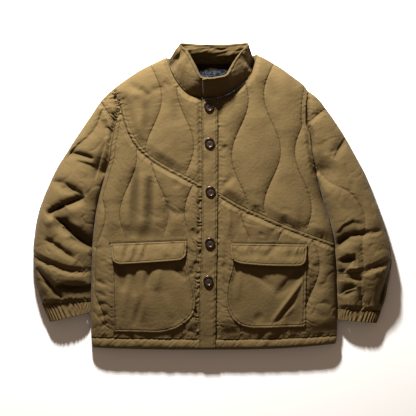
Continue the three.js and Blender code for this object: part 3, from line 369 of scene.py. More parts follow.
BODY_CREASES = table(
    "x1 y1 x2 y2 depth width",
    (-157, 251, -157, 140, -2.6, 11),
    (-172, 212, -176, 136, 2, 11),
    (-90, 236, -88, 169, -1.8, 13),
    (-174, 260, -150, 239, -1.8, 8),
    (-119, 275, -97, 260, -1.2, 6),
    (-196, 241, -150, 251, 1.6, 10),
    (-184, 70, -190, -100, -5, 9),
    (-149, 50, -152, -110, -5.5, 8),
    (-168, 60, -170, -100, 2.4, 8),
    (-206, 30, -208, -80, 2, 8),
    (-130, 70, -128, -30, 2, 9),
    (-108, -10, -110, -90, -2, 8),
    (-88, 44, -85, 20, -1.6, 8),
    (-112, -20, -88, -42, -1.4, 6),
    (-102, -42, -54, -37, -1.2, 8),
    (-49, -76, -37, -100, -2.4, 8),
    (-61, -128, -42, -148, -1.6, 6),
    (-40, -157, -52, -188, -1.8, 6),
    (-277, -200, -256, -212, -1.6, 6),
    (-282, -229, -253, -239, -1.8, 6),
    (-280, -260, -251, -256, -1.7, 6),
    (-277, -292, -248, -280, -1.7, 6),
    (-272, -316, -251, -301, -1.5, 6),
    (-282, -128, -260, -119, -1.5, 6),
    (-270, -157, -251, -152, -1.2, 6),
    (37, 121, 16, 107, -2, 6),
    (25, 112, 13, 136, -1.2, 6),
    (119, -85, 114, -97, -1.2, 6),
    (73, -52, 85, -95, 1.2, 8),
    (138, -85, 174, -71, -1.2, 6),
    (191, -95, 210, -85, -1.2, 6),
    (104, -20, 109, -54, -1.4, 8),
    (176, -42, 172, -76, -1.4, 8),
    (210, -20, 217, -85, -1.2, 10),
    (244, 68, 263, 20, -2.2, 6),
    (236, 112, 256, 88, -1.6, 6),
    (133, 284, 152, 232, -1.6, 13),
    (167, 299, 186, 241, 1.4, 13),
    (40, -20, 40, -95, 1.8, 6),
    (30, -104, 28, -248, -1.2, 6),
    (32, -157, 20, -176, -1.6, 6),
    (239, -176, 263, -157, -1.4, 8),
    (248, -224, 277, -215, -1.4, 8),
    (239, -272, 272, -292, -1.4, 8),
    (263, -248, 284, -263, -1.2, 6),
)
HEM_CREASES = table(
    "x1 y1 x2 y2 depth width",
    (-256, -330, -268, -359, -2, 6),
    (-220, -332, -234, -359, -2, 6),
    (-203, -323, -184, -356, -2.4, 6),
    (-188, -325, -174, -359, 1.6, 6),
    (-150, -335, -160, -359, -1.5, 6),
    (-92, -323, -104, -359, -2.4, 6),
    (-66, -330, -78, -356, -1.6, 6),
    (-30, -330, -44, -359, -1.5, 6),
    (66, -330, 80, -356, -1.6, 6),
    (95, -328, 80, -359, -2, 6),
    (124, -318, 107, -359, -2.6, 6),
    (143, -320, 119, -359, 1.8, 6),
    (167, -318, 140, -359, -2.4, 6),
    (200, -330, 186, -356, -1.6, 6),
    (234, -328, 220, -354, -1.6, 6),
    (263, -325, 251, -352, -1.6, 6),
)


def folds_at(x, y, rows):
    height = np.zeros(np.shape(x))
    for x1, y1, x2, y2, depth, width in zip(*rows.values()):
        off, along = nearest([(x1, y1), (x2, y2)], x, y)
        share = along / math.hypot(x2 - x1, y2 - y1)
        height = height + depth * np.exp(-((off / width) ** 2)) * (4 * share * (1 - share)) ** 0.8
    return height


SLEEVE_LAPS = [
    (11, 13, [(-397, -46), (-376, -35), (-352, -25), (-330, -14), (-304, -4)]),
    (17, 24, [(-384, -49), (-356, -70), (-338, -92), (-312, -112), (-282, -130)]),
    (4, 12, [(-392, 36), (-356, 30), (-330, 11), (-309, 0)]),
    (5, 11, [(-284, 92), (-308, 102), (-345, 108)]),
    (3.5, 8, [(-280, 74), (-298, 80), (-326, 87)]),
    (12, 24, [(-288, -210), (-315, -214), (-342, -213), (-360, -208), (-376, -213)]),
    (7, 9, [(-424, -172), (-402, -200), (-385, -220), (-361, -248)]),
    (3, 10, [(-328, -148), (-352, -131), (-377, -110), (-402, -102)]),
    (4, 9, [(-280, 40), (-268, 80), (-254, 130)]),
    (5, 9, [(-244, 125), (-238, 150), (-233, 175), (-224, 205), (-236, 240)]),
    (10, 18, [(297, -128), (314, -108), (330, -98), (352, -93)]),
    (5, 7, [(340, -95), (356, -92), (376, -91)]),
    (6, 10, [(345, -170), (344, -150), (340, -136)]),
    (5, 12, [(361, -63), (335, -57), (312, -68), (297, -88)]),
    (10, 22, [(314, -202), (316, -182), (340, -148)]),
    (4, 8, [(359, -198), (314, -191)]),
    (9, 18, [(304, -239), (322, -226), (345, -219)]),
    (8, 14, [(428, -155), (409, -210), (398, -262)]),
    (7, 9, [(228, 254), (224, 220), (225, 175), (234, 150), (239, 110)]),
    (5, 12, [(322, 150), (302, 120), (288, 92)]),
]


def laps_at(x, y, laps):
    height = np.zeros(np.shape(x))
    for drop, wide, path in laps:
        corners = np.array(path, float)
        off, along = nearest(corners, x, y)
        lengths = np.concatenate([[0], np.cumsum(np.hypot(*np.diff(corners, axis=0).T))])
        share = along / lengths[-1]
        at = np.clip(np.searchsorted(lengths, along) - 1, 0, len(corners) - 2)
        a, b = corners[at], corners[at + 1]
        turn = (b[..., 0] - a[..., 0]) * (y - a[..., 1]) - (b[..., 1] - a[..., 1]) * (x - a[..., 0])
        beside = off * np.sign(turn)
        fall = smoothstep(beside, -1.5, 2.5) * np.exp(-((np.maximum(beside, 0) / wide) ** 2))
        height = height - drop * fall * (4 * share * (1 - share)) ** 0.4
    return height


print("folds and creases:", sum(len(t["x1"]) for t in (FOLDS, BODY_CREASES, HEM_CREASES)))

# %% [markdown]
# Without its quilting the jacket is a flat pillow: it rises steeply from its rim and is almost level in
# the middle. A sleeve is a narrower one that starts at the height of the body beside its armhole. Both
# are formulas, so that every piece that lies on them can ask for the height at its own points.

# %% Large form of the body and the sleeves


def body_form(x, y, inset=0.0):
    foot = FOOT if inset else EDGE_HEIGHT
    crest = between(BODY_HEIGHTS, "y", "crest", y) - inset
    left = x - between(BODY_SIDES, "y", "left", y)
    right = between(BODY_SIDES, "y", "right", y) - x
    sided = 1 - smoothstep(y, 20, 110)
    side = 1 - sided * (1 - roll(np.minimum(left, right) - inset, 44))
    top = roll(nearest(TOP_EDGE, x, y)[0] - inset, 48)
    return foot + (crest - foot) * side * top


def sleeve_form(side, x, y, inset=0.0):
    outer, inner = SLEEVES[side]["outer"], SLEEVES[side]["inner"]
    foot = FOOT if inset else EDGE_HEIGHT
    crest = between(SLEEVE_HEIGHTS, "y", "crest", y) - inset
    from_outer = roll(nearest(outer, x, y)[0] - inset, 50)
    from_inner = roll(nearest(inner, x, y)[0] - inset, 50)
    own = foot + (crest - foot) * from_outer * from_inner
    path = ARMHOLE[side]
    off, along = nearest(path, x, y)
    lengths = np.concatenate([[0], np.cumsum(np.hypot(*np.diff(path, axis=0).T))])
    seam_x, seam_y = (np.interp(along, lengths, path[:, k]) for k in (0, 1))
    return lerp(body_form(seam_x, seam_y, inset), own, smoothstep(off, 0, 60))


print("body height at its middle:", round(float(body_form(0.0, 0.0)), 1), "mm")

# %% [markdown]
# Every padded piece is a closed wall: an outer grid of points, an inner grid under it and a rim between
# them. The grids' columns follow the quilting lines, so that the stitched valleys stay crisp.

# %% Build a wall between two grids


def wall_mesh(name, outer, inner, attributes=None, ring=False, smooth=50):
    """outer and inner are grids of points in millimetres, columns first."""
    wide, high = outer.shape[:2]
    points = np.concatenate([outer.reshape(-1, 3), inner.reshape(-1, 3)]) * METRE
    n = wide * high

    def at(layer, i, j):
        return layer * n + (i % wide) * high + j

    i, j = np.meshgrid(np.arange(wide if ring else wide - 1), np.arange(high - 1), indexing="ij")
    quads = [
        np.stack([at(0, i, j), at(0, i + 1, j), at(0, i + 1, j + 1), at(0, i, j + 1)], -1),
        np.stack([at(1, i, j), at(1, i, j + 1), at(1, i + 1, j + 1), at(1, i + 1, j)], -1),
    ]
    k, m, last = i[:, 0], j[0], high - 1
    quads.append(np.stack([at(0, k, 0), at(1, k, 0), at(1, k + 1, 0), at(0, k + 1, 0)], -1))
    quads.append(
        np.stack([at(0, k + 1, last), at(1, k + 1, last), at(1, k, last), at(0, k, last)], -1)
    )
    if not ring:
        end = wide - 1
        quads.append(np.stack([at(0, 0, m + 1), at(1, 0, m + 1), at(1, 0, m), at(0, 0, m)], -1))
        quads.append(
            np.stack([at(0, end, m), at(1, end, m), at(1, end, m + 1), at(0, end, m + 1)], -1)
        )
    faces = np.concatenate([q.reshape(-1, 4) for q in quads])
    a, b, c = (points[faces[:, q]] for q in range(3))
    d = points[faces[:, 3]]
    if (np.cross(a, b) * c).sum() + (np.cross(a, c) * d).sum() < 0:
        faces = faces[:, ::-1]
    mesh = bpy.data.meshes.new(name + "_cloth")
    mesh.from_pydata(points.tolist(), [], faces.tolist())
    for key_name, values in (attributes or {}).items():
        layer = mesh.attributes.new(key_name, "FLOAT", "POINT")
        layer.data.foreach_set("value", np.concatenate([values.ravel()] * 2).astype(np.float32))
    piece = bpy.data.objects.new(name + "_cloth", mesh)
    bpy.context.collection.objects.link(piece)
    bpy.ops.object.select_all(action="DESELECT")
    piece.select_set(True)
    bpy.context.view_layer.objects.active = piece
    bpy.ops.object.shade_smooth_by_angle(angle=math.radians(smooth))
    return piece


def flat_points(grid, z):
    return np.concatenate([grid, np.broadcast_to(z, grid.shape[:2])[..., None]], -1)


def drawn_in(grid, amount=SEAM_INSET):
    """Draws a grid's rim in by the seam inset, square to each edge."""
    out = grid.copy()

    def push(edge, sign):
        run = np.gradient(edge, axis=0)
        run /= np.linalg.norm(run, axis=1)[:, None]
        return np.stack([-run[:, 1], run[:, 0]], -1) * amount * sign

    out[:, 0] += push(grid[:, 0], 1)
    out[:, -1] += push(grid[:, -1], -1)
    out[0] += push(grid[0], -1)
    out[-1] += push(grid[-1], 1)
    return out


print("walls are built from two grids and a rim")

# %% [markdown]
# Quilting: each line swings about its own place, furthest right at its peak, and neighbours swing apart,
# so that wide bulbs and narrow necks follow each other down the jacket.

# %% Quilting lines and the panels' grids
QUILT_PERIOD = 269
QUILT_SWING = 20
LEAST_CHANNEL = 10
PUFF = 8.4
SEAM_DIP = 1.8
SEAM_FADE = 14
NO_LIMIT = 9999
QUILT_LINES = {
    "left_upper": table("x peak straight_from", (-142, 235, NO_LIMIT), (-65, 121, NO_LIMIT)),
    "left_lower": table(
        "x peak straight_from",
        (-277, -44, NO_LIMIT),
        (-202, 92, 92),
        (-126, -44, NO_LIMIT),
        (-47, 95, NO_LIMIT),
    ),
    "right_upper": table(
        "x peak straight_from", (66, 232, NO_LIMIT), (143, 109, NO_LIMIT), (217, 240, NO_LIMIT)
    ),
    "right_lower": table(
        "x peak straight_from", (88, -165, NO_LIMIT), (160, -30, NO_LIMIT), (236, -165, NO_LIMIT)
    ),
}


def stations(lines, left, right, y):
    """x of the left edge, of each quilting line and of the right edge, at heights y."""
    low, high = left(y), right(y)
    rows = [low]
    last = len(lines["x"]) + 1
    for k, (x, peak, straight) in enumerate(zip(*lines.values()), 1):
        swung = x + QUILT_SWING * np.cos(2 * math.pi * (np.minimum(y, straight) - peak) / QUILT_PERIOD)
        rows.append(np.maximum(low + k * LEAST_CHANNEL, np.minimum(high - (last - k) * LEAST_CHANNEL, swung)))
    rows.append(high)
    return np.array(rows)


def channel_at(lines, left, right, x, y):
    """Share across the channel, the channel's width and the distance to the nearest line."""
    s = stations(lines, left, right, y.ravel())
    px, n = x.ravel(), np.arange(x.size)
    k = np.clip((s <= px + 1e-6).sum(0) - 1, 0, len(s) - 2)
    low, high = s[k, n], s[k + 1, n]
    share = np.clip((px - low) / (high - low), 0, 1)
    own_lines = s[1:-1]
    to_line = np.abs(own_lines - px).min(0)
    return share.reshape(x.shape), (high - low).reshape(x.shape), to_line.reshape(x.shape)


def quilted_grid(lines, left, right, bottom, top, steps, rows, corner=None):
    """A panel's grid, whose columns follow the quilting lines."""
    share = crowded(steps, 0.75)
    channels = len(lines["x"]) + 1
    k = np.concatenate([np.repeat(np.arange(channels), steps), [channels - 1]])
    t = np.concatenate([np.tile(share[:-1], channels), [1.0]])

    def column_x(y):
        """x of every column at its own height, or at its own row of heights."""
        flat = y.reshape(len(k), -1)
        s = stations(lines, left, right, flat.ravel()).reshape(-1, *flat.shape)
        column = np.arange(len(k))
        x = lerp(s[k, column], s[k + 1, column], t[:, None])
        return x.reshape(y.shape)

    def ends(edge):
        low, high = np.zeros(len(k)), np.ones(len(k))
        for _ in range(30):
            middle = (low + high) / 2
            place = edge(middle)
            inside = place[:, 0] < column_x(place[:, 1])
            low, high = np.where(inside, middle, low), np.where(inside, high, middle)
        found = edge(low)
        found[0], found[-1] = edge(0.0), edge(1.0)
        return found

    low, high = ends(bottom), ends(top)
    if corner is not None:
        miss = np.hypot(high[:, 0] - corner[0], high[:, 1] - corner[1])
        high[miss.argmin()] = corner
    y = lerp(low[:, 1:], high[:, 1:], crowded(rows, 0.6)[None, :])
    x = column_x(y)
    x[:, 0], x[:, -1] = low[:, 0], high[:, 0]
    return np.stack([x, y], -1)


print("quilting lines:", sum(len(t["x"]) for t in QUILT_LINES.values()))

# %% [markdown]
# The pockets' outlines come before the panels, because the padding is pressed flat beneath them. Each
# outline is four edges: top, bottom, left and right, as seen.

# %% Pocket outlines
POCKETS = {
    "left": {
        "wearer": "right",
        "bag": [
            [(-242, -128), (-62, -128)],
            [(-238, -325), (-180, -326.5), (-124, -327), (-88, -318)],
            [(-242, -128), (-238, -325)],
            [(-62, -128), (-59, -160), (-47, -204), (-40, -243), (-43, -275), (-60, -299), (-88, -318)],
        ],
        "flap": [
            [(-244, -113), (-61, -106)],
            [(-224, -162), (-206, -162), (-92, -154), (-74, -151)],
            [(-244, -113), (-240, -145), (-235, -157), (-224, -162)],
            [(-61, -106), (-64, -140), (-74, -151)],
        ],
        "welt": [
            [(-248, -104.5), (-61, -98)],
            [(-248, -112), (-61, -105)],
            [(-248, -104.5), (-248, -112)],
            [(-61, -98), (-61, -105)],
        ],
    },
    "right": {
        "wearer": "left",
        "bag": [
            [(49, -130), (226, -130)],
            [(96, -317), (160, -315), (223, -313)],
            [(49, -130), (45, -170), (34, -212), (32, -252), (43, -285), (66, -309), (96, -317)],
            [(226, -130), (223, -313)],
        ],
        "flap": [
            [(44, -112), (227, -115)],
            [(68, -161), (126, -166), (200, -167), (216, -163)],
            [(44, -112), (45, -140), (52, -154), (68, -161)],
            [(227, -115), (223, -153), (216, -163)],
        ],
        "welt": [
            [(43, -103.5), (224, -107)],
            [(43, -111), (224, -114)],
            [(43, -103.5), (43, -111)],
            [(224, -107), (224, -114)],
        ],
    },
}
PILE_FADE = 16


def pocket_rim(side, piece="bag"):
    top, bottom, left, right = (spline(edge) for edge in POCKETS[side][piece])
    around = [sampled(left), sampled(bottom)[1:], sampled(right)[::-1][1:], sampled(top)[::-1][1:]]
    return np.concatenate(around)


def depth_inside(rim, x, y):
    """Distance to a closed outline, positive inside it and negative outside."""
    off, _ = nearest(rim, x, y)
    inside = np.zeros(np.shape(x), bool)
    for (ax, ay), (bx, by) in zip(rim, np.roll(rim, -1, axis=0)):
        crosses = (ay > y) != (by > y)
        at = ax + (y - ay) * (bx - ax) / (by - ay if by != ay else 1)
        inside ^= crosses & (x < at)
    return np.where(inside, off, -off)


POCKET_RIMS = [pocket_rim(side) for side in POCKETS]


def under_pocket(x, y):
    """1 well under a pocket, 0 away from it."""
    deepest = np.maximum(*(depth_inside(rim, x, y) for rim in POCKET_RIMS))
    return smoothstep(deepest, -5, PILE_FADE)


print("pockets:", list(POCKETS))

# %% [markdown]
# Seams are where two panels meet. The cloth sinks into them, and beside the yoke seam it is folded back
# and stitched down twice, which leaves a narrow flat band before the padding rises.

# %% Heights of a quilted panel
YOKE_PATH = np.concatenate([sampled(spline(YOKE_LEFT)), sampled(spline(YOKE_RIGHT))])
HEM_PATH = sampled(hem_edge("seam", *HEM_SEAM_ENDS))
NECK_PATHS = [sampled(spline(NECKLINE_LEFT)), sampled(spline(NECKLINE_RIGHT))]
PLACKET_PATHS = [
    np.stack([between(PLACKET, "y", side, np.linspace(237, -366, 60)), np.linspace(237, -366, 60)], -1)
    for side in ("left", "right")
]
STITCH_NEAR = 1.4
STITCH_FAR = 8.2


def stitched_fold(distance):
    """A flat band with a dent at each of its two rows of stitches."""
    dents = np.exp(-(((distance - STITCH_NEAR) / 1.3) ** 2)) + np.exp(
        -(((distance - STITCH_FAR) / 1.5) ** 2)
    )
    return -0.5 * dents + 0.5 * smoothstep(distance, 0.5, 2) * (1 - smoothstep(distance, 6, 8))


def seam_relief(x, y, paths, seed, depth=1.2, period=15, reach=10):
    relief = np.zeros(np.shape(x))
    for n, path in enumerate(paths):
        off, along = nearest(path, x, y)
        relief += (0.5 if path is HEM_PATH else 1) * depth * puckers(off, along, period, reach, seed + 7 * n)
    return relief


# Over a pocket the padding sinks towards the welt: left, right and top of the pocket, and how much.
ABOVE_POCKETS = [(-248, -60, -98, 0.85), (43, 224, -105, 0.35)]


def quilt_padding(panel, x, y):
    t, width, to_line = channel_at(panel["lines"], panel["left"], panel["right"], x, y)
    flat = 1 - under_pocket(x, y)
    for left, right, top, sink in ABOVE_POCKETS:
        over = smoothstep(x, left - 30, left + 5) * (1 - smoothstep(x, right - 5, right + 30))
        above = (1 - smoothstep(y, top, top + 40)) * smoothstep(y, top - 60, top - 20)
        flat = flat * (1 - sink * over * above)
    seed, paths = panel["seed"], panel["paths"]
    sides = [path for path in paths if path is not YOKE_PATH and path is not HEM_PATH]
    near_seam = np.minimum.reduce([nearest(path, x, y)[0] for path in sides])
    yoke, hem = nearest(YOKE_PATH, x, y)[0], nearest(HEM_PATH, x, y)[0]
    fade = smoothstep(near_seam, 0, SEAM_FADE)
    fade = fade * (0.22 * smoothstep(hem, 0, 12) + 0.78 * smoothstep(hem, 10, 45))
    fade = fade * (smoothstep(yoke, 5, 34) if panel["upper"] else smoothstep(yoke, 0, 12))
    arch = np.sin(math.pi * t) ** 0.66 * np.minimum(1, width / 60)
    padding = (PUFF * arch * fade - SEAM_DIP * (1 - smoothstep(near_seam, 0, SEAM_FADE))) * flat
    if not panel["upper"]:
        padding -= 1.6 * (1 - roll(yoke, 3.5))
    line_puckers = puckers(to_line, y * 1.1, 13, 8, seed + 3) * 0.45
    padding += (line_puckers + seam_relief(x, y, paths, seed)) * (0.15 + 0.85 * flat)
    if panel["upper"]:
        padding += stitched_fold(nearest(YOKE_PATH, x, y)[0])
    uneven = swell(x, y, 55, seed) * 1.2 + swell(x, y, 20, seed + 5) * 0.3
    busy = 0.35 + 0.65 * smoothstep(-y, -60, 120)
    creased = crinkles(x, y, 34, seed + 8) * 1.8 + crinkles(x, y, 20, seed + 12, 2) * 1.1
    creased = creased * smoothstep(hem, 4, 30)
    return padding + (uneven + creased * busy) * (0.12 + 0.88 * flat), to_line


def padded_heights(form, x, y, padding, extra):
    fold = folds_at(x, y, FOLDS) * (1 - under_pocket(x, y))
    inner = np.maximum(FOOT, form(x, y, WALL) + fold + np.minimum(extra, 0))
    outer = np.maximum(form(x, y) + fold + padding + extra, inner + LEAST_WALL)
    return outer, inner


def line_attributes(x, y, to_line, paths, upper=False):
    """What the cloth's material draws from: distances to the stitches, in millimetres."""
    seam = np.minimum.reduce([nearest(path, x, y)[0] for path in paths])
    stitch = np.full(np.shape(x), float(FAR))
    if upper:
        off = nearest(YOKE_PATH, x, y)[0]
        stitch = np.minimum(np.abs(off - STITCH_NEAR), np.abs(off - STITCH_FAR))
    return {"seam": seam, "stitch": stitch, "quilt": to_line, "along": y * 1.05 + x * 0.4}


def painted_fold_shade(extra):
    """How deep a place lies in a fold, from 0 to 1, for the shade painted into the colour there."""
    return np.clip(-extra / 9, 0, 1)


def as_root(piece, *nodes, padded=0.35, slot="shell_cloth"):
    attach(piece, "root")
    if nodes:
        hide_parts(*nodes)
    return piece


print("stitch rows beside the yoke seam, in mm:", STITCH_NEAR, STITCH_FAR)

# %% [markdown]
# Fronts: the slanted yoke seam cuts each one into an upper and a lower panel. A real panel is quilted
# flat on a table and then cut out; here its grid is laid between its four edges and lifted by the large
# form, the padding, the folds and the gathers in turn. A sculpted mesh would lose the stitched lines.

# %% Fronts: four quilted panels


def side_x(side):
    return lambda y: between(BODY_SIDES, "y", side, y)


def placket_x(side):
    return lambda y: between(PLACKET, "y", side, y)


steep = sampled(part(spline(YOKE_LEFT), 0, 3 / 7), 90)


def upper_left_side(y):
    on_seam = np.interp(-y, -steep[:, 1], steep[:, 0])
    return np.where(y > 220, between(BODY_SIDES, "y", "left", y), on_seam)


CLOTH_PIECES = []
CREASE_STRENGTH = 1.7
GATHERS = {"sleeve": 9, "body": 6, "placket": 4, "pocket": 3}

PANELS = {
    "right_front_upper": {
        "lines": QUILT_LINES["left_upper"],
        "left": upper_left_side,
        "right": placket_x("left"),
        "bottom": part(spline(YOKE_LEFT), 3 / 7, 1),
        "top": join(spline(SHOULDER_LEFT), spline(NECKLINE_LEFT)),
        "corner": NECKLINE_LEFT[0],
        "steps": 40,
        "rows": 130,
        "seed": 11,
        "paths": [YOKE_PATH, ARMHOLE["left"], PLACKET_PATHS[0], NECK_PATHS[0]],
        "upper": True,
    },
    "left_front_upper": {
        "lines": QUILT_LINES["right_upper"],
        "left": placket_x("right"),
        "right": side_x("right"),
        "bottom": spline(YOKE_RIGHT),
        "top": join(spline(NECKLINE_RIGHT), spline(SHOULDER_RIGHT)),
        "corner": SHOULDER_RIGHT[0],
        "steps": 36,
        "rows": 190,
        "seed": 23,
        "paths": [YOKE_PATH, ARMHOLE["right"], PLACKET_PATHS[1], NECK_PATHS[1]],
        "upper": True,
    },
    "right_front_lower": {
        "lines": QUILT_LINES["left_lower"],
        "left": side_x("left"),
        "right": placket_x("left"),
        "bottom": hem_edge("seam", HEM_SEAM_ENDS[0], PLACKET_FOOT[0]),
        "top": spline(YOKE_LEFT),
        "corner": None,
        "steps": 30,
        "rows": 230,
        "seed": 37,
        "paths": [YOKE_PATH, ARMHOLE["left"], PLACKET_PATHS[0], HEM_PATH],
        "upper": False,
    },
    "left_front_lower": {
        "lines": QUILT_LINES["right_lower"],
        "left": placket_x("right"),
        "right": side_x("right"),
        "bottom": hem_edge("seam", PLACKET_FOOT[1], HEM_SEAM_ENDS[1]),
        "top": spline(YOKE_RIGHT),
        "corner": None,
        "steps": 36,
        "rows": 150,
        "seed": 41,
        "paths": [YOKE_PATH, ARMHOLE["right"], PLACKET_PATHS[1], HEM_PATH],
        "upper": False,
    },
}


def panel_heights(name, x, y):
    padding, to_line = quilt_padding(PANELS[name], x, y)
    free = 1 - under_pocket(x, y)
    creases = folds_at(x, y, BODY_CREASES) * free + 0.6 * folds_at(x, y, HEM_CREASES)
    off, along = nearest(ARMHOLE["left"], x, y)
    gathered = GATHERS["body"] * tucks(off, along, 7, 16, 91) * smoothstep(y, 205, 228)
    off, along = nearest(PLACKET_PATHS[0], x, y)
    below = 1 - smoothstep(y, 0, 50)
    gathered += GATHERS["placket"] * tucks(off, along + 0.5 * off, 15, 20, 92) * below
    off, along = nearest(PLACKET_PATHS[1], x, y)
    below = 1 - smoothstep(y, -60, 0)
    gathered += 0.6 * GATHERS["placket"] * tucks(off, along - 0.4 * off, 17, 16, 93) * below
    for rim in POCKET_RIMS:
        off, along = nearest(rim, x, y)
        low = (1 - smoothstep(y, -120, -70)) * smoothstep(y, -322, -302)
        gathered += GATHERS["pocket"] * tucks(off, along + 0.6 * off, 13, 20, 94) * low * free
    calm = smoothstep(nearest(HEM_PATH, x, y)[0], 3, 14)
    extra = CREASE_STRENGTH * creases + gathered * calm
    outer, inner = padded_heights(body_form, x, y, padding, extra)
    return outer, inner, to_line, extra


def quilted_panel(name):
    panel = PANELS[name]
    sides = [panel[key_name] for key_name in ("lines", "left", "right", "bottom", "top")]
    grid = drawn_in(quilted_grid(*sides, panel["steps"], panel["rows"], panel["corner"]))
    x, y = grid[..., 0], grid[..., 1]
    outer, inner, to_line, extra = panel_heights(name, x, y)
    cells = line_attributes(x, y, to_line, panel["paths"], panel["upper"])
    # Painted shade: the fold attribute darkens the colour where the panel lies deep in a crease.
    cells["fold"] = painted_fold_shade(extra)
    piece = wall_mesh(name, flat_points(grid, outer), flat_points(grid, inner), cells)
    CLOTH_PIECES.append(as_root(piece, name))
    print(name, len(piece.data.polygons), "faces, top at", round(float(outer.max()), 1), "mm")


for name in PANELS:
    quilted_panel(name)

# %% [markdown]
# The hem band is a folded strip of the same cloth, round at its lower edge. Its seam draws the panels in
# and slanting puckers run across it. It could be swept along the hem, but a grid between two edges meets
# the panels above it exactly.

# %% Plain strips: hem bands, placket and back


def strip_grid(left, right, bottom, top, across, up):
    """A grid between two sides given as x(y) and two ends given as edges."""
    s = np.asarray(across)
    low, high = bottom(s), top(s)
    y = lerp(low[:, 1:], high[:, 1:], np.asarray(up)[None, :])
    x = lerp(left(y), right(y), s[:, None])
    return drawn_in(np.stack([x, y], -1))


BAND_ACROSS = crowded(130, 0.8)
BAND_UP = crowded(20, 0.8)


def hem_band(name, left, right, seam_from, seam_to, bottom_from, bottom_to, seed):
    bottom, top = hem_edge("bottom", bottom_from, bottom_to), hem_edge("seam", seam_from, seam_to)
    grid = strip_grid(left, right, bottom, top, BAND_ACROSS, BAND_UP)
    x, y = grid[..., 0], grid[..., 1]
    share = np.ones_like(x) * BAND_UP[None, :]
    rise = -5 * (1 - roll(share, 0.3)) + 3 * np.sin(math.pi * share) - SEAM_DIP * smoothstep(share, 0.75, 1)
    off, along = nearest(HEM_PATH, x, y)
    rise += puckers(off, along + 0.6 * off, 13, 13, seed) * 1.1 + swell(x, y, 16, seed) * 0.4
    outer, inner = padded_heights(body_form, x, y, rise, folds_at(x, y, HEM_CREASES))
    cells = line_attributes(x, y, FAR * np.ones_like(x), [HEM_PATH])
    piece = wall_mesh(name, flat_points(grid, outer), flat_points(grid, inner), cells)
    CLOTH_PIECES.append(as_root(piece, name))
    print(name, len(piece.data.polygons), "faces")


hem_band(
    "right_front_hem",
    side_x("left"),
    placket_x("left"),
    HEM_SEAM_ENDS[0],
    PLACKET_FOOT[0],
    HEM_BOTTOM_ENDS[0],
    PLACKET_FOOT[0],
    51,
)
hem_band(
    "left_front_hem",
    placket_x("right"),
    side_x("right"),
    PLACKET_FOOT[1],
    HEM_SEAM_ENDS[1],
    PLACKET_FOOT[1],
    HEM_BOTTOM_ENDS[1],
    52,
)

# %% [markdown]
# The placket is the firm strip at the front edge that laps over the other front and carries the snaps.
# Each snap pulls the cloth round it into short slanting drags. One strip from neck to hem, as it is cut,
# keeps both rows of stitches parallel to its sides.

# %% Placket: the overlapping edge that carries the snaps
PLACKET_STITCH = 4
PLACKET_HEM_Y = -368
BUTTONS = [(-8, 216), (-7, 128), (-5, 12), (-6, -111), (-10, -202)]


def placket_end(points):
    a, b = np.array(points, float)
    return lambda s: lerp(a, b, np.asarray(s, float)[..., None])


placket_grid = strip_grid(
    placket_x("left"),
    placket_x("right"),
    placket_end([(x, PLACKET_HEM_Y) for x in PLACKET_FOOT]),
    placket_end([NECKLINE_LEFT[-1], NECKLINE_RIGHT[0]]),
    crowded(30, 0.8),
    np.linspace(0, 1, 301),
)
px, py = placket_grid[..., 0], placket_grid[..., 1]
to_left, to_right = px - between(PLACKET, "y", "left", py), between(PLACKET, "y", "right", py) - px
edge_off = np.minimum(to_left, to_right)
rise = 1.2 + 2.2 * roll(edge_off, 6) - 0.7 * np.exp(-(((edge_off - PLACKET_STITCH) / 1.2) ** 2))
rise += puckers(to_right, py, 17, 9, 61) * 0.8 + puckers(to_left, py, 14, 6, 62) * 0.5
for bx, by in BUTTONS:
    drag = np.exp(-(((py - by) / 26) ** 2)) * np.sin((px - bx) / 4.2 + (py - by) / 9)
    rise += 0.9 * drag * smoothstep(np.hypot(px - bx, py - by), 10, 16)
rise += 1.1 * crinkles(px, py, 24, 65, 2) + swell(px, py, 26, 63) * 0.8
rise -= 4 * (1 - smoothstep(py - PLACKET_HEM_Y, 0, 6))
outer_placket, inner_placket = padded_heights(body_form, px, py, rise, 0)
placket = wall_mesh(
    "button_placket",
    flat_points(placket_grid, outer_placket),
    flat_points(placket_grid, inner_placket),
    {
        "seam": edge_off,
        "stitch": np.minimum(np.abs(to_right - PLACKET_STITCH), np.abs(to_left - PLACKET_STITCH)),
        "quilt": FAR * np.ones_like(px),
        "along": py,
    },
)
CLOTH_PIECES.append(as_root(placket, "button_placket"))
print("placket", len(placket.data.polygons), "faces")

# %% [markdown]
# Back: one wide padded panel that the jacket lies on, and the hem band behind. The quilting shows from
# below as shallow valleys; between them the cloth is pressed flat on the floor. The same heights serve
# the under sleeves later, because they lie on the floor in the same way.

# %% Back panel and the hem band behind
BACK_THICK = 7
BACK_QUILT = {"first": -228, "spacing": 76, "last": 240, "peak": 90, "shift": 134.5}


def lying_heights(x, y, to_rim, to_line, seed):
    """Top and bottom of a padded layer that lies on the floor."""
    curl = 2.5 * (1 - smoothstep(to_rim, 0, 14))
    valley = 1.3 * np.exp(-((to_line / 3.5) ** 2)) * smoothstep(to_rim, 0, 8)
    bottom = curl + valley + 0.12 * (1 + puckers(to_line, y, 12, 8, seed))
    top = BACK_THICK - 0.8 * valley - 0.1
    return np.broadcast_to(top, x.shape), bottom - bottom.min()


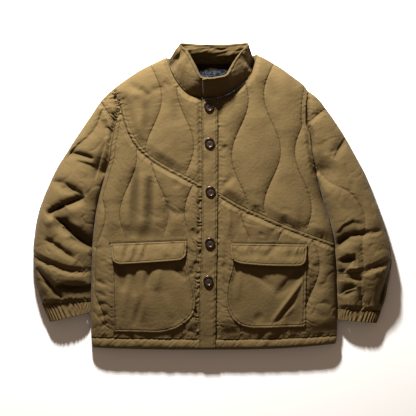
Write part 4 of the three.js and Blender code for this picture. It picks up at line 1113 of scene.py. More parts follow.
back_places = range(BACK_QUILT["first"], BACK_QUILT["last"], BACK_QUILT["spacing"])
back_rows = [
    (place, BACK_QUILT["peak"] + BACK_QUILT["shift"] * (n % 2), NO_LIMIT)
    for n, place in enumerate(back_places)
]
back_lines = table("x peak straight_from", *back_rows)
back_top = join(spline(SHOULDER_LEFT), join(spline(BACK_NECK), spline(SHOULDER_RIGHT)))
back_bottom = hem_edge("seam", *HEM_SEAM_ENDS)
grid = quilted_grid(back_lines, side_x("left"), side_x("right"), back_bottom, back_top, 14, 150)
grid = drawn_in(grid)
x, y = grid[..., 0], grid[..., 1]
_, _, to_line = channel_at(back_lines, side_x("left"), side_x("right"), x, y)
to_sides = np.minimum(x - side_x("left")(y), side_x("right")(y) - x)
to_rim = np.minimum(to_sides, nearest(TOP_EDGE, x, y)[0])
top, bottom = lying_heights(x, y, np.maximum(to_rim, 0), to_line, 71)
cells = line_attributes(x, y, to_line, [HEM_PATH])
back = wall_mesh("back_panel", flat_points(grid, top), flat_points(grid, bottom), cells)
CLOTH_PIECES.append(as_root(back, "back_panel"))

band_bottom = hem_edge("bottom", *HEM_BOTTOM_ENDS)
band = strip_grid(
    side_x("left"), side_x("right"), band_bottom, back_bottom, crowded(200, 0.7), crowded(8)
)
x, y = band[..., 0], band[..., 1]
to_rim = np.minimum(x - side_x("left")(y), side_x("right")(y) - x)
top, bottom = lying_heights(x, y, np.maximum(to_rim, 0), FAR * np.ones_like(x), 72)
bottom = bottom + 1.2 * (1 - smoothstep(crowded(8)[None, :], 0, 0.3))
cells = line_attributes(x, y, FAR * np.ones_like(x), [HEM_PATH])
back_band = wall_mesh("back_hem_band", flat_points(band, top), flat_points(band, bottom), cells)
CLOTH_PIECES.append(as_root(back_band, "back_hem_band"))
print("back panel", len(back.data.polygons), "faces, back hem band", len(back_band.data.polygons))

# %% [markdown]
# Sleeves: each has a cap strip at the shoulder, a long upper piece, a forearm below the elbow seam and
# an elastic cuff. A sleeve's grid is stretched between two edges that run down it and two that cross
# it. Its padding is loose, so it lies in deep folds above the elbow. Lofted rings would make a round
# sleeve, but this one lies flat, so its upper half is one lifted sheet and its lower half another.

# %% Outlines of the sleeves
SLEEVES = {
    "left": {
        "wearer": "right",
        "outer": [
            (-244, 254),
            (-268, 229),
            (-299, 184),
            (-330, 138),
            (-356, 97),
            (-376, 64),
            (-395, 23),
            (-408, -8),
            (-420, -47),
            (-428, -95),
            (-431, -140),
            (-427, -188),
            (-419, -229),
            (-409, -259),
        ],
        "inner": [
            (-256, 59),
            (-266.6, 25),
            (-275.6, -8),
            (-283.6, -56),
            (-288.6, -104),
            (-291.2, -179),
            (-292.8, -254),
        ],
        "cap_row": 1,
        "elbow_row": 10,
        "inner_elbow_row": 5,
        "elbow": [(-431, -140), (-392, -160), (-356, -174), (-323, -179), (-294, -179)],
        "cuff_end": [(-390, -301), (-293, -278)],
        "line_share": 0.16,
        "line_ends": 0.3,
        "quilt": table(
            "down across",
            (0, 0.12),
            (0.04, 0.15),
            (0.1, 0.195),
            (0.17, 0.17),
            (0.23, 0.11),
            (0.3, 0.07),
            (1, 0.12),
            (2, 0.16),
        ),
    },
    "right": {
        "wearer": "left",
        "outer": [
            (229, 254),
            (253, 235),
            (272, 212),
            (299, 174),
            (323, 136),
            (347, 92),
            (365, 59),
            (378, 28),
            (395, -18),
            (409, -61),
            (421, -100),
            (430, -148),
            (428, -182),
            (422, -215),
            (415, -248),
            (404, -278),
        ],
        "inner": [
            (248, 59),
            (257.6, 25),
            (265.6, -8),
            (282.6, -56),
            (292.6, -104),
            (296.8, -157),
            (298, -185),
            (299.7, -248),
            (300.2, -270),
        ],
        "cap_row": 2,
        "elbow_row": 11,
        "inner_elbow_row": 6,
        "elbow": [(430, -148), (404, -163), (378, -173), (347, -183), (308, -185)],
        "cuff_end": [(394, -304), (300, -296)],
        "line_share": 0.7,
        "line_ends": 3,
        "quilt": table(
            "down across",
            (0, 0.9),
            (0.105, 0.845),
            (0.24, 0.75),
            (0.34, 0.655),
            (0.455, 0.495),
            (0.525, 0.385),
            (0.65, 0.3),
            (0.755, 0.37),
            (0.825, 0.5),
            (1, 0.6),
            (1.4, 0.6),
            (2, 0.45),
        ),
    },
}
SLEEVE_CREASES = table(
    "x1 y1 x2 y2 depth width",
    (-395, -47, -373, -28, -4, 6),
    (-373, -28, -351, -23, -5, 5),
    (-351, -23, -306, -4, -4, 5),
    (-400, -68, -380, -49, 2.5, 8),
    (-385, 35, -356, 30, -2, 5),
    (-356, 30, -330, 11, -2.5, 5),
    (-380, -50, -356, -71, -6, 6),
    (-356, -71, -340, -94, -6, 6),
    (-340, -98, -286, -128, -5, 6),
    (-350, -58, -310, -75, 4, 9),
    (-402, -102, -377, -110, -2.5, 5),
    (-377, -110, -352, -131, -2.5, 5),
    (-352, -131, -328, -148, -2, 5),
    (-424, -172, -402, -200, -2.5, 5),
    (-402, -200, -385, -220, -3, 5),
    (-385, -220, -361, -248, -2, 5),
    (-398, -152, -390, -200, -2, 5),
    (-376, -212, -359, -220, -2.5, 5),
    (-359, -220, -300, -210, -2.5, 5),
    (-340, 107, -309, 102, -1.8, 4),
    (-309, 102, -284, 91, -1.8, 4),
    (-325, 87, -282, 74, -1.6, 4),
    (-330, 60, -290, 40, -1.4, 8),
    (-300, 10, -285, -30, -1.6, 8),
    (297, -121, 328, -95, -5, 6),
    (328, -95, 373, -92, -4, 5),
    (373, -92, 409, -80, -3, 5),
    (297, -157, 339, -148, -6, 6),
    (315, -191, 359, -198, -3, 5),
    (304, -239, 345, -222, -3, 5),
    (395, -275, 409, -210, -3, 6),
    (409, -210, 428, -155, -2, 6),
    (284, 92, 318, 148, -2, 8),
    (337, 47, 330, 11, -1.8, 8),
    (300, 30, 350, -20, 1.5, 14),
    (330, -120, 380, -115, 3, 9),
    (310, -170, 350, -172, 2.5, 7),
    (350, -240, 372, -262, -1.6, 5),
    (-340, -240, -345, -256, -1.6, 5),
)


def patch(start, end, outer, inner, across, along, bend=None):
    """A four-sided grid between two edges down the sleeve and two across it."""
    s, v = np.meshgrid(across, along, indexing="ij")
    u = bend(s, v) if bend else s
    a, b, c, d = start(u), end(u), outer(v), inner(v)
    corners = [e(np.array(q)) for e in (start, end) for q in (0.0, 1.0)]
    u, v = u[..., None], v[..., None]
    mixed = lerp(lerp(corners[0], corners[1], u), lerp(corners[2], corners[3], u), v)
    return lerp(a, b, v) + lerp(c, d, u) - mixed


def counter_clockwise(grid):
    a, b, c = grid[0, 0], grid[-1, 0], grid[0, -1]
    turn = (b[0] - a[0]) * (c[1] - a[1]) - (b[1] - a[1]) * (c[0] - a[0])
    return turn > 0


print("sleeve creases:", len(SLEEVE_CREASES["x1"]))

# %% [markdown]
# Each sleeve piece gets the same treatment as a front: one quilting line runs down it as a soft wave, the
# padding swells on both sides of that line, and the seams draw it in. The inner edge follows the side of
# the body with a hair of a gap, since the sleeve lies tucked against it.

# %% Sleeves: cap, upper, forearm and under sleeve
SLEEVE_PUFF = 6
CAP_Y, NOTCH_Y = 175, 220
SLEEVE_GAP = 0.1


def sleeve(side):
    rows = SLEEVES[side]
    outer, inner = rows["outer"], rows["inner"]

    def form(x, y, inset=0.0):
        return sleeve_form(side, x, y, inset)

    def stretch(path, start, end):
        return part(spline(path), start / (len(path) - 1), end / (len(path) - 1))

    reach = np.array([SLEEVE_GAP if side == "right" else -SLEEVE_GAP, 0])

    def beside_body(high, low):
        edge = side_edge(side, high, low)
        return lambda s: edge(s) + reach

    cap_end = (float(between(BODY_SIDES, "y", side, CAP_Y)), CAP_Y)
    cap_seam = placket_end([outer[rows["cap_row"]], cap_end])
    elbow_seam = spline(rows["elbow"])
    cuff_seam = placket_end([outer[-1], inner[-1]])
    cap_path, elbow_path = sampled(cap_seam, 12), sampled(elbow_seam, 30)
    cuff_path = sampled(cuff_seam, 12)
    line_share = rows["line_share"]
    elbow_y = inner[rows["inner_elbow_row"]][1]

    def bend(start):
        def at(share, v):
            line = between(rows["quilt"], "down", "across", start + v)
            below = share * line / line_share
            above = 1 - (1 - share) * (1 - line) / (1 - line_share)
            return np.where(share <= line_share, below, above)

        return at

    def finish_piece(grid, share, down, node, paths, seed, puff):
        flip = counter_clockwise(grid)
        grid, share = (grid, share) if flip else (grid[::-1], share[::-1])
        down = down[None, :] + 0 * share
        grid = drawn_in(grid)
        x, y = grid[..., 0], grid[..., 1]
        t = np.where(share < line_share, share / line_share, (share - line_share) / (1 - line_share))
        offs = [nearest(path, x, y) for path in paths]
        fade = smoothstep(np.minimum.reduce([off for off, _ in offs]), 0, SEAM_FADE)
        quilted = 1 - smoothstep(down, rows["line_ends"], rows["line_ends"] + 0.06)
        one, two = (np.sin(math.pi * np.clip(q, 0, 1)) ** 0.62 for q in (share, t))
        padding = puff * lerp(one, two, quilted) * fade - SEAM_DIP * (1 - fade)
        line = grid[np.abs(share[:, 0] - line_share).argmin()]
        to_line = nearest(line, x, y)[0] + FAR * (1 - quilted)
        for n, (off, along) in enumerate(offs):
            deep = 1.9 if n == 0 and node == "sleeve_cap" else 1.0
            if node == "sleeve_forearm" and n == 1:
                deep = 2.2
            if n == 2:
                deep = smoothstep(y, 62, 100)
            padding += deep * puckers(off, along, 12, 12, seed + n)
        padding += 0.6 * puckers(to_line, y, 12, 7, seed + 5)
        padding += swell(x, y, 45, seed) * 1.3 + swell(x, y, 18, seed + 2) * 0.35
        padding += crinkles(x, y, 34, seed + 20) * 1.8 + crinkles(x, y, 20, seed + 24, 2) * 1.0
        laps = laps_at(x, y, SLEEVE_LAPS) + folds_at(x, y, SLEEVE_CREASES)
        if side == "left" and node != "sleeve_forearm":
            off, along = nearest(ARMHOLE[side], x, y)
            laps += GATHERS["sleeve"] * tucks(off, along, 8, 19, 90) * smoothstep(y, 145, 180)
        z, under = padded_heights(form, x, y, padding, laps)
        cells = line_attributes(x, y, to_line if puff > 3 else FAR * np.ones_like(x), paths)
        # Painted shade: the fold attribute darkens the colour where the sleeve lies deep in a fold.
        cells["fold"] = painted_fold_shade(laps)
        name = rows["wearer"] + "_" + node
        piece = wall_mesh(name, flat_points(grid, z), flat_points(grid, under), cells)
        CLOTH_PIECES.append(as_root(piece, name))
        print(name, len(piece.data.polygons), "faces")

    def shares(count_across, count_down, ease=0.5):
        across = crowded(count_across, 0.9)
        down = crowded(count_down, ease)
        return across, down, np.repeat(across[:, None], count_down + 1, 1)

    across, down, share = shares(40, 24)
    cap = patch(
        cap_seam,
        side_edge(side, outer[0][1], NOTCH_Y),
        stretch(outer, rows["cap_row"], 0),
        side_edge(side, CAP_Y, NOTCH_Y),
        across,
        down,
    )
    finish_piece(cap, share, down, "sleeve_cap", [ARMHOLE[side], cap_path], 81, 2)
    across, down, share = shares(84, 190)
    upper = patch(
        join(cap_seam, side_edge(side, CAP_Y, UNDERARM_Y)),
        elbow_seam,
        stretch(outer, rows["cap_row"], rows["elbow_row"]),
        beside_body(UNDERARM_Y, elbow_y),
        across,
        down,
        bend(0),
    )
    finish_piece(upper, share, down, "sleeve_upper", [cap_path, elbow_path, ARMHOLE[side]], 83, SLEEVE_PUFF)
    across, down, share = shares(84, 60)
    forearm = patch(
        elbow_seam,
        cuff_seam,
        stretch(outer, rows["elbow_row"], len(outer) - 1),
        beside_body(elbow_y, inner[-1][1]),
        across,
        down,
        bend(1),
    )
    finish_piece(forearm, share, 1 + down, "sleeve_forearm", [elbow_path, cuff_path], 87, SLEEVE_PUFF)

    inner_edge = beside_body(UNDERARM_Y, inner[-1][1])
    under_cuff = placket_end([outer[-1], inner_edge(1.0)])
    under = patch(
        side_edge(side, ARMHOLE_TOP_Y, UNDERARM_Y),
        under_cuff,
        spline(outer),
        inner_edge,
        crowded(50),
        crowded(150),
    )
    if not counter_clockwise(under):
        under = under[::-1]
    under = drawn_in(under)
    x, y = under[..., 0], under[..., 1]
    to_rim = np.minimum(nearest(outer, x, y)[0], nearest(inner, x, y)[0])
    middle = sampled(lambda s: (spline(outer)(s) + spline(inner)(s)) / 2, 30)
    middle = middle + 14 * np.sin(np.linspace(0, 7, 31))[:, None] * np.array([1, 0])
    to_line = nearest(middle, x, y)[0]
    top, bottom = lying_heights(x, y, to_rim, to_line, 91)
    name = rows["wearer"] + "_under_sleeve"
    cells = line_attributes(x, y, to_line, [cuff_path])
    piece = wall_mesh(name, flat_points(under, top), flat_points(under, bottom), cells)
    CLOTH_PIECES.append(as_root(piece, name))
    print(name, len(piece.data.polygons), "faces")


sleeve("left")
sleeve("right")

# %% [markdown]
# Cuffs: elastic sewn inside a tube of cloth draws it into close gathers. The tube lies flattened, so its
# section is a wide ring, and each gather is a wave of its wall that is deepest on the top. Straight ribs
# would look knitted, so the waves wander a little.

# %% Elastic cuffs
CUFF = {"height": 30, "wall": 3, "gathers": 34, "depth": 1.5, "gap": 0.1, "long": 32, "fullness": 1.5}
CUFF_SEAM_LENGTH = 30
CUFF_COLUMNS = 340


def cuff(side):
    rows = SLEEVES[side]
    ends = np.array(rows["cuff_end"], float)
    tops = np.array([rows["outer"][-1], rows["inner"][-1]], float)
    way = ends - tops
    tops = tops + way / np.linalg.norm(way, axis=1)[:, None] * CUFF["gap"]
    around, along = np.meshgrid(np.arange(CUFF_COLUMNS) / CUFF_COLUMNS, np.linspace(0, 1, 15), indexing="ij")
    turn = 2 * math.pi * around
    pulled = around + 0.006 * ripple(along * 30 + around * 200, 40, 101)
    wander = 1.3 * (along - 0.5) * ripple(around * CUFF_COLUMNS, 60, 103)
    wave = np.cos(2 * math.pi * pulled * CUFF["gathers"] + wander)
    rise = CUFF["depth"] * wave * (0.75 + 0.35 * np.sin(math.pi * along))

    def layer(inwards):
        a, b = lerp(tops[0], ends[0], along[..., None]), lerp(tops[1], ends[1], along[..., None])
        half = np.linalg.norm(b - a, axis=-1) / 2
        reach = (half - inwards + rise * 0.5) / half
        across = 0.5 + 0.5 * reach * np.sign(np.cos(turn)) * np.abs(np.cos(turn)) ** 0.8
        tall = CUFF["height"] / 2 - inwards
        z = CUFF["height"] / 2 + np.sin(turn) * (tall + np.where(np.sin(turn) > 0, rise, 0))
        return np.concatenate([lerp(a, b, across[..., None]), np.maximum(z, inwards)[..., None]], -1)

    name = rows["wearer"] + "_cuff"
    blank = FAR * np.ones_like(around)
    rim = np.minimum(along, 1 - along) * CUFF_SEAM_LENGTH
    cells = {"seam": rim + 1, "stitch": blank, "quilt": blank, "along": around * CUFF_COLUMNS}
    piece = wall_mesh(name, layer(0), layer(CUFF["wall"]), cells, ring=True)
    as_root(piece, name, padded=None)
    CLOTH_PIECES.append(piece)
    print(name, len(piece.data.polygons), "faces")


cuff("left")
cuff("right")

# %% [markdown]
# Collar: a padded stand collar. Its front ends lap and lean in, its back leans out and shows its inner
# face. It is drawn as sections round the neck, each from the neck seam up to the top edge. A bent strip
# would stand evenly, but the columns of this table let each part of the collar lean as it does.

# %% Stand collar
COLLAR = table(
    "seam_x seam_y top_x top_y top_z under",
    (6, 236, 4, 277, 76, 1),
    (-25, 233, -25, 280, 76, 1),
    (-54, 242, -33, 291, 73, 0.2),
    (-73, 258, -40, 309, 69, 0),
    (-90, 282, -49, 328, 64, 0),
    (-102, 308, -60, 346, 60, 0),
    (-105, 330, -79, 364, 52, 0),
    (-78, 328, -62, 366, 45, 0),
    (-42, 323, -33, 364, 41, 0),
    (0, 322, 0, 363, 40, 0),
    (47, 324, 38, 364, 41, 0),
    (80, 332, 68, 366, 45, 0),
    (98, 336, 84, 364, 52, 0),
    (98.5, 318, 66, 342, 60, 0),
    (90, 289, 51, 322, 66, 0),
    (71, 268, 43, 305, 72, 0),
    (42, 247, 33, 289, 79, 0),
    (13, 237, 6, 282, 83, 0),
    (-22, 233, -24, 279, 84, 0),
)
COLLAR["k"] = np.arange(len(COLLAR["seam_x"]), dtype=float)
COLLAR_WALL = 4.2
COLLAR_TALL = 52
COLLAR_STITCH = 5
FOOT_STITCH = 4
SEAT = {"inwards": 2.3, "sunk": 5, "back_level": 9.2, "back_roll": 10}
FRONT_LAP = {"outwards": 3.8, "down": 4.05}
last = COLLAR["k"][-1]


def collar_column(name, k):
    return between(COLLAR, "k", name, k)


k = np.linspace(0, last, 361)
a, b = np.clip(k - 0.2, 0, last), np.clip(k + 0.2, 0, last)
run = np.stack([collar_column("seam_" + c, b) - collar_column("seam_" + c, a) for c in "xy"], -1)
run /= np.linalg.norm(run, axis=1)[:, None]
out = np.stack([-run[:, 1], run[:, 0]], -1)
base = np.stack([collar_column("seam_" + c, k) for c in "xy"], -1) - SEAT["inwards"] * out
on_back = smoothstep(base[:, 1], 296, 314)
base_z = lerp(body_form(base[:, 0], base[:, 1]) - SEAT["sunk"], SEAT["back_level"], on_back)
h = crowded(44, 0.6)
under = collar_column("under", k)[:, None]
bow = 2 * np.sin(math.pi * h)[None, :] ** 2
rolled = SEAT["back_roll"] * smoothstep(base[:, 1:], 318, 322) * np.sin(math.pi * h)[None, :]
away = (bow - 0.5 * rolled) * out[:, :1], (bow - 0.5 * rolled) * out[:, 1:]
middle = np.stack(
    [
        lerp(base[:, :1], collar_column("top_x", k)[:, None], h) + away[0],
        lerp(base[:, 1:], collar_column("top_y", k)[:, None], h) + away[1] + under * FRONT_LAP["outwards"],
        lerp(base_z[:, None], collar_column("top_z", k)[:, None], h)
        + bow
        + 0.8 * rolled
        - under * FRONT_LAP["down"],
    ],
    -1,
)
around, up = np.gradient(middle, axis=0), np.gradient(middle, axis=1)
normal = np.cross(around, up)
normal /= np.linalg.norm(normal, axis=-1)[..., None]
length = np.cumsum(np.linalg.norm(around, axis=-1), axis=0)
height = h[None, :] * COLLAR_TALL
from_top = COLLAR_TALL - height
swollen = 1.6 * np.sin(math.pi * h)[None, :] ** 0.6 + 0.7 * swell(length, height, 26, 113)
swollen = swollen + puckers(height, length, 15, 9, 111) * smoothstep(height, 0, 4)
swollen = swollen + 0.7 * puckers(from_top, length, 18, 7, 112)
swollen = swollen - 0.9 * np.exp(-(((from_top - COLLAR_STITCH) / 1.6) ** 2))
folded = 2.4 * np.exp(-(((length - 98) / 9) ** 2))
folded = folded - 4 * np.exp(-(((length - 121 - 0.2 * height) / 7) ** 2))
swollen = swollen + folded * smoothstep(height, 0, 12)
swollen = swollen + 1.4 * crinkles(length, height, 22, 119, 2) + 0.5 * ripple(height + 0.3 * length, 26, 121)
inside = 1.2 * np.sin(math.pi * h)[None, :] ** 0.6 + 2.2 * crinkles(length * 0.6, height * 1.6, 20, 117, 3)
waves = np.sin((height + 6 * ripple(length, 70, 124)) * 2 * math.pi / 15) + 0.6 * ripple(length, 24, 125)
inside = inside + 1.4 * swell(length * 0.7, height * 1.8, 15, 123) * smoothstep(height, 2, 10)
inside = inside + 1.2 * waves * smoothstep(height, 4, 14) * smoothstep(from_top, 2, 8)
outer_side = middle - normal * (COLLAR_WALL / 2 + swollen * 0.6)[..., None]
inner_side = middle + normal * (COLLAR_WALL / 2 + inside * 0.5)[..., None]
collar = wall_mesh(
    "collar",
    outer_side,
    inner_side,
    {
        "seam": np.minimum(height, from_top) + 1 + 0 * length,
        "stitch": np.minimum(np.abs(from_top - COLLAR_STITCH), np.abs(height - FOOT_STITCH)) + 0 * length,
        "quilt": FAR + 0 * length,
        "along": length,
    },
)
CLOTH_PIECES.append(as_root(collar, "collar"))
print("collar", len(collar.data.polygons), "faces")

# %% [markdown]
# Inside the back neck a brown woven strip covers the seam, and below it lies a dark facing with a pale
# motif. Both are thin cloth laid on the back panel, so each is a low wall over a slightly uneven bed.

# %% Neck tape and facing


def neck_piece(name, left, right, drops, columns, seed, slot):
    x = np.linspace(left, right, columns + 1)[:, None] + 0 * np.array(drops)[None, :]
    neck = between(table("x y", *BACK_NECK), "x", "y", x)
    grid = np.stack([x, neck - np.array(drops)[None, :]], -1)
    lift = 0.5 + 0.45 * swell(grid[..., 0], grid[..., 1], 22, seed)
    low = FOOT + lift
    piece = wall_mesh(name, flat_points(grid, low + 1.1), flat_points(grid, low))
    as_root(piece, name, padded=None, slot=slot)
    print(name, len(piece.data.polygons), "faces")
    return piece


tape = neck_piece("neck_tape", -66, 66, np.linspace(17, 3, 9), 60, 121, "tape")
lining = neck_piece("neck_lining", -88, 84, np.linspace(110, 17.6, 40), 70, 122, "lining")

# %% [markdown]
# Pockets: a patch bag with a rounded lower corner, a flap over its mouth and a narrow welt above the flap.
# Each is cut, turned under at its rim and stitched down near it, so a dent runs round inside the edge.
# Each takes its heights from the panel beneath it, so that it lies on the padding and never through it.

# %% Patch pockets, flaps and welts
POCKET_CREASES = table(
    "x1 y1 x2 y2 depth width",
    (-221, -160, -212, -228, -2.2, 10),
    (-206, -200, -214, -290, 1.3, 8),
    (-190, -170, -186, -240, -1.6, 7),
    (-172, -168, -168, -300, 2.0, 10),
    (-146, -150, -158, -216, -2.0, 6),
    (-128, -166, -134, -226, 1.8, 9),
    (-92, -166, -60, -196, -2.4, 8),
    (-116, -230, -96, -290, 1.0, 9),
    (-166, -236, -190, -312, -1.6, 7),
    (224, -190, 140, -305, 2.6, 5),
    (214, -176, 150, -240, -2.6, 10),
    (206, -236, 150, -306, -1.4, 6),
    (84, -168, 150, -224, -1.6, 8),
    (66, -170, 60, -250, 1.0, 8),
    (196, -262, 168, -290, 1.2, 6),
    (120, -280, 100, -300, -1.2, 9),
)
FLAP_CREASES = table(
    "x1 y1 x2 y2 depth width",
    (-206, -112, -214, -158, -2.4, 5),
    (-190, -112, -198, -156, 1.6, 5),
    (-180, -112, -190, -158, -2.4, 4),
    (-166, -112, -178, -156, 1.6, 4),
    (-158, -110, -168, -154, -2.4, 4),
    (-120, -110, -112, -146, 1.4, 8),
    (-96, -108, -92, -140, -1.4, 6),
    (86, -118, 104, -150, -1.8, 7),
    (128, -114, 138, -152, 1.6, 7),
    (146, -116, 126, -150, -1.6, 6),
    (190, -114, 182, -155, -1.4, 7),
    (206, -116, 196, -140, 1.2, 5),
)
POCKET_FOLD_STRENGTH = 2.3
FLAP_FOLD_STRENGTH = 1.7
CLOTH_LIFT = 0.6
POCKET_THICK = 2.4
POCKET_AREAS = {"left": (-248, -40, -327, -98), "right": (32, 228, -317, -101)}


def bulge(side, x, y):
    left, right, bottom, top = POCKET_AREAS[side]
    across = 1 - ((x - (left + right) / 2) / ((right - left) / 2)) ** 2
    up = 1 - ((y - (bottom + top) / 2) / ((top - bottom) / 2)) ** 2
    return 4 * np.maximum(0, across) * np.maximum(0, up)


def outlined(side, piece, columns, rows):
    top, bottom, left, right = (spline(edge) for edge in POCKETS[side][piece])
    grid = patch(top, bottom, left, right, crowded(columns, 0.85), crowded(rows, 0.85))
    return grid if counter_clockwise(grid) else grid[::-1]


def sewn_piece(name, grid, rim, low, thick, extra, stitch_in, edge=3.5):
    x, y = grid[..., 0], grid[..., 1]
    off, along = nearest(rim, x, y)
    top = low + thick * (0.25 + 0.75 * roll(off, edge)) + extra
    top = top - 0.8 * np.exp(-(((off - stitch_in) / 1.3) ** 2))
    top = top + 0.5 * puckers(np.abs(off - stitch_in), along, 11, 6, len(name))
    cells = {
        "seam": off + 0.8,
        "stitch": np.abs(off - stitch_in),
        "quilt": FAR * np.ones_like(x),
        "along": along,
        # Painted shade: the fold attribute darkens the colour in the creases of pockets and flaps.
        "fold": painted_fold_shade(1.6 * np.minimum(extra - extra.mean(), 0)),
    }
    piece = wall_mesh(name, flat_points(grid, np.maximum(top, low + 0.5)), flat_points(grid, low), cells)
    as_root(piece, name, padded=None)
    CLOTH_PIECES.append(piece)
    print(name, len(piece.data.polygons), "faces")


def pocket(side):
    wearer = POCKETS[side]["wearer"]
    area_top = POCKET_AREAS[side][3]

    def place(piece, columns, rows):
        grid = outlined(side, piece, columns, rows)
        x, y = grid[..., 0], grid[..., 1]
        base = panel_heights(wearer + "_front_lower", x, y)[0] + CLOTH_LIFT
        return grid, pocket_rim(side, piece), x, y, base

    grid, rim, x, y, base = place("bag", 100, 100)
    within = smoothstep(nearest(rim, x, y)[0], 3, 16)
    body = bulge(side, x, y) + folds_at(x, y, POCKET_CREASES) * within * POCKET_FOLD_STRENGTH
    body = body + swell(x, y, 30, 131) * 0.8 * within
    sewn_piece(wearer + "_pocket", grid, rim, base, POCKET_THICK, np.maximum(body, -1.5), 6)

    grid, rim, x, y, base = place("flap", 100, 36)
    down = area_top - 6 - y
    stand = 3.9 * smoothstep(down, 0, 22) + 8.5 * smoothstep(down, 15, 60)
    low = base + stand + bulge(side, x, y) + 0.8 * swell(x, y, 34, 133) * smoothstep(down, 20, 45)
    body = FLAP_FOLD_STRENGTH * folds_at(x, y, FLAP_CREASES) + 1.2 * smoothstep(nearest(rim, x, y)[0], 6, 16)
    sewn_piece(wearer + "_pocket_flap", grid, rim, low, POCKET_THICK, body, 5)

    grid, rim, x, y, base = place("welt", 60, 8)
    sewn_piece(wearer + "_pocket_welt", grid, rim, base, 1.8, 0 * x, 2, edge=2.5)


pocket("left")
pocket("right")

# %% [markdown]
# Ring snaps: a turned metal ring pressed round a darker sunken disc. Each is a cylinder whose two ends
# are inset and bridged into a tunnel, with rounded edges, much as a lathe would leave it. The disc's relief
# is plain rings.

# %% Ring snaps
RIM = {"radius": 12.4, "inner": 8.6, "height": 3.3}
CENTRE = {"radius": 8.3, "height": 1.5}
SNAP_SIDES = 56
bpy.context.tool_settings.mesh_select_mode = False, False, True
snap_rims, snap_centres = [], []


def new_cylinder(name, radius, height, x, y, base):
    bpy.ops.object.select_all(action="DESELECT")
    bpy.ops.mesh.primitive_cylinder_add(
        vertices=SNAP_SIDES,
        radius=radius * METRE,
        depth=height * METRE,
        location=(x * METRE, y * METRE, (base + height / 2) * METRE),
    )
    piece = bpy.context.object
    piece.name = name
    bpy.ops.object.transform_apply(location=True, rotation=True, scale=True)
    return piece


def rounded(piece, width, segments):
    bevel = piece.modifiers.new("bevel", "BEVEL")
    bevel.width = width * METRE
    bevel.segments = segments
    bevel.limit_method = "ANGLE"
    bevel.angle_limit = math.radians(35)
    bpy.ops.object.modifier_apply(modifier=bevel.name)
    bpy.ops.object.shade_smooth_by_angle(angle=math.radians(40))


def edit_faces(piece, test):
    for face in piece.data.polygons:
        face.select = test(face)
    bpy.ops.object.mode_set(mode="EDIT")
    bpy.ops.mesh.select_mode(type="FACE")


def snap(number, x, y):
    near = np.abs(py - y) < 30
    seat = float(outer_placket[near].max()) + 0.2
    rim = new_cylinder("button_rim_%d_metal" % number, RIM["radius"], RIM["height"], x, y, seat)
    edit_faces(rim, lambda face: abs(face.normal.z) > 0.9)
    bpy.ops.mesh.inset(thickness=(RIM["radius"] - RIM["inner"]) * METRE)
    bpy.ops.mesh.bridge_edge_loops()
    bpy.ops.object.mode_set(mode="OBJECT")
    rounded(rim, 1.3, 4)
    as_root(rim, "button_rim_%d" % number, padded=None, slot="snap_rim")
    snap_rims.append(rim)
    centre = new_cylinder("button_centre_%d_metal" % number, CENTRE["radius"], CENTRE["height"], x, y, seat)
    edit_faces(centre, lambda face: face.normal.z > 0.9)
    bpy.ops.mesh.inset(thickness=1.5 * METRE)
    bpy.ops.mesh.extrude_region_move(TRANSFORM_OT_translate={"value": (0, 0, -0.5 * METRE)})
    bpy.ops.mesh.inset(thickness=3.2 * METRE)
    bpy.ops.mesh.extrude_region_move(TRANSFORM_OT_translate={"value": (0, 0, 0.7 * METRE)})
    bpy.ops.object.mode_set(mode="OBJECT")
    rounded(centre, 0.3, 2)
    as_root(centre, "button_centre_%d" % number, padded=None, slot="snap_centre")
    snap_centres.append(centre)


for number, (x, y) in enumerate(BUTTONS, 1):
    snap(number, x, y)
print("ring snaps:", len(snap_rims), "with", len(snap_rims[0].data.polygons), "faces in a rim")

# %% [markdown]
# Materials. The shell is a fine polyamide weave with a soft sheen. Each cloth piece carries, at every
# point, how far it is from the nearest seam and the nearest row of stitches and how far along it lies;
# the material sinks a dark groove there and breaks it into single stitches, and it paints shade into the
# colour beside the stitch rows, along the quilting lines and in the folds. Painted pictures of cloth
# would blur close to; these patterns stay sharp at any size.

# %% Cloth and metal
WAVES_PER_THREAD = 3.14 / (2 * math.pi)


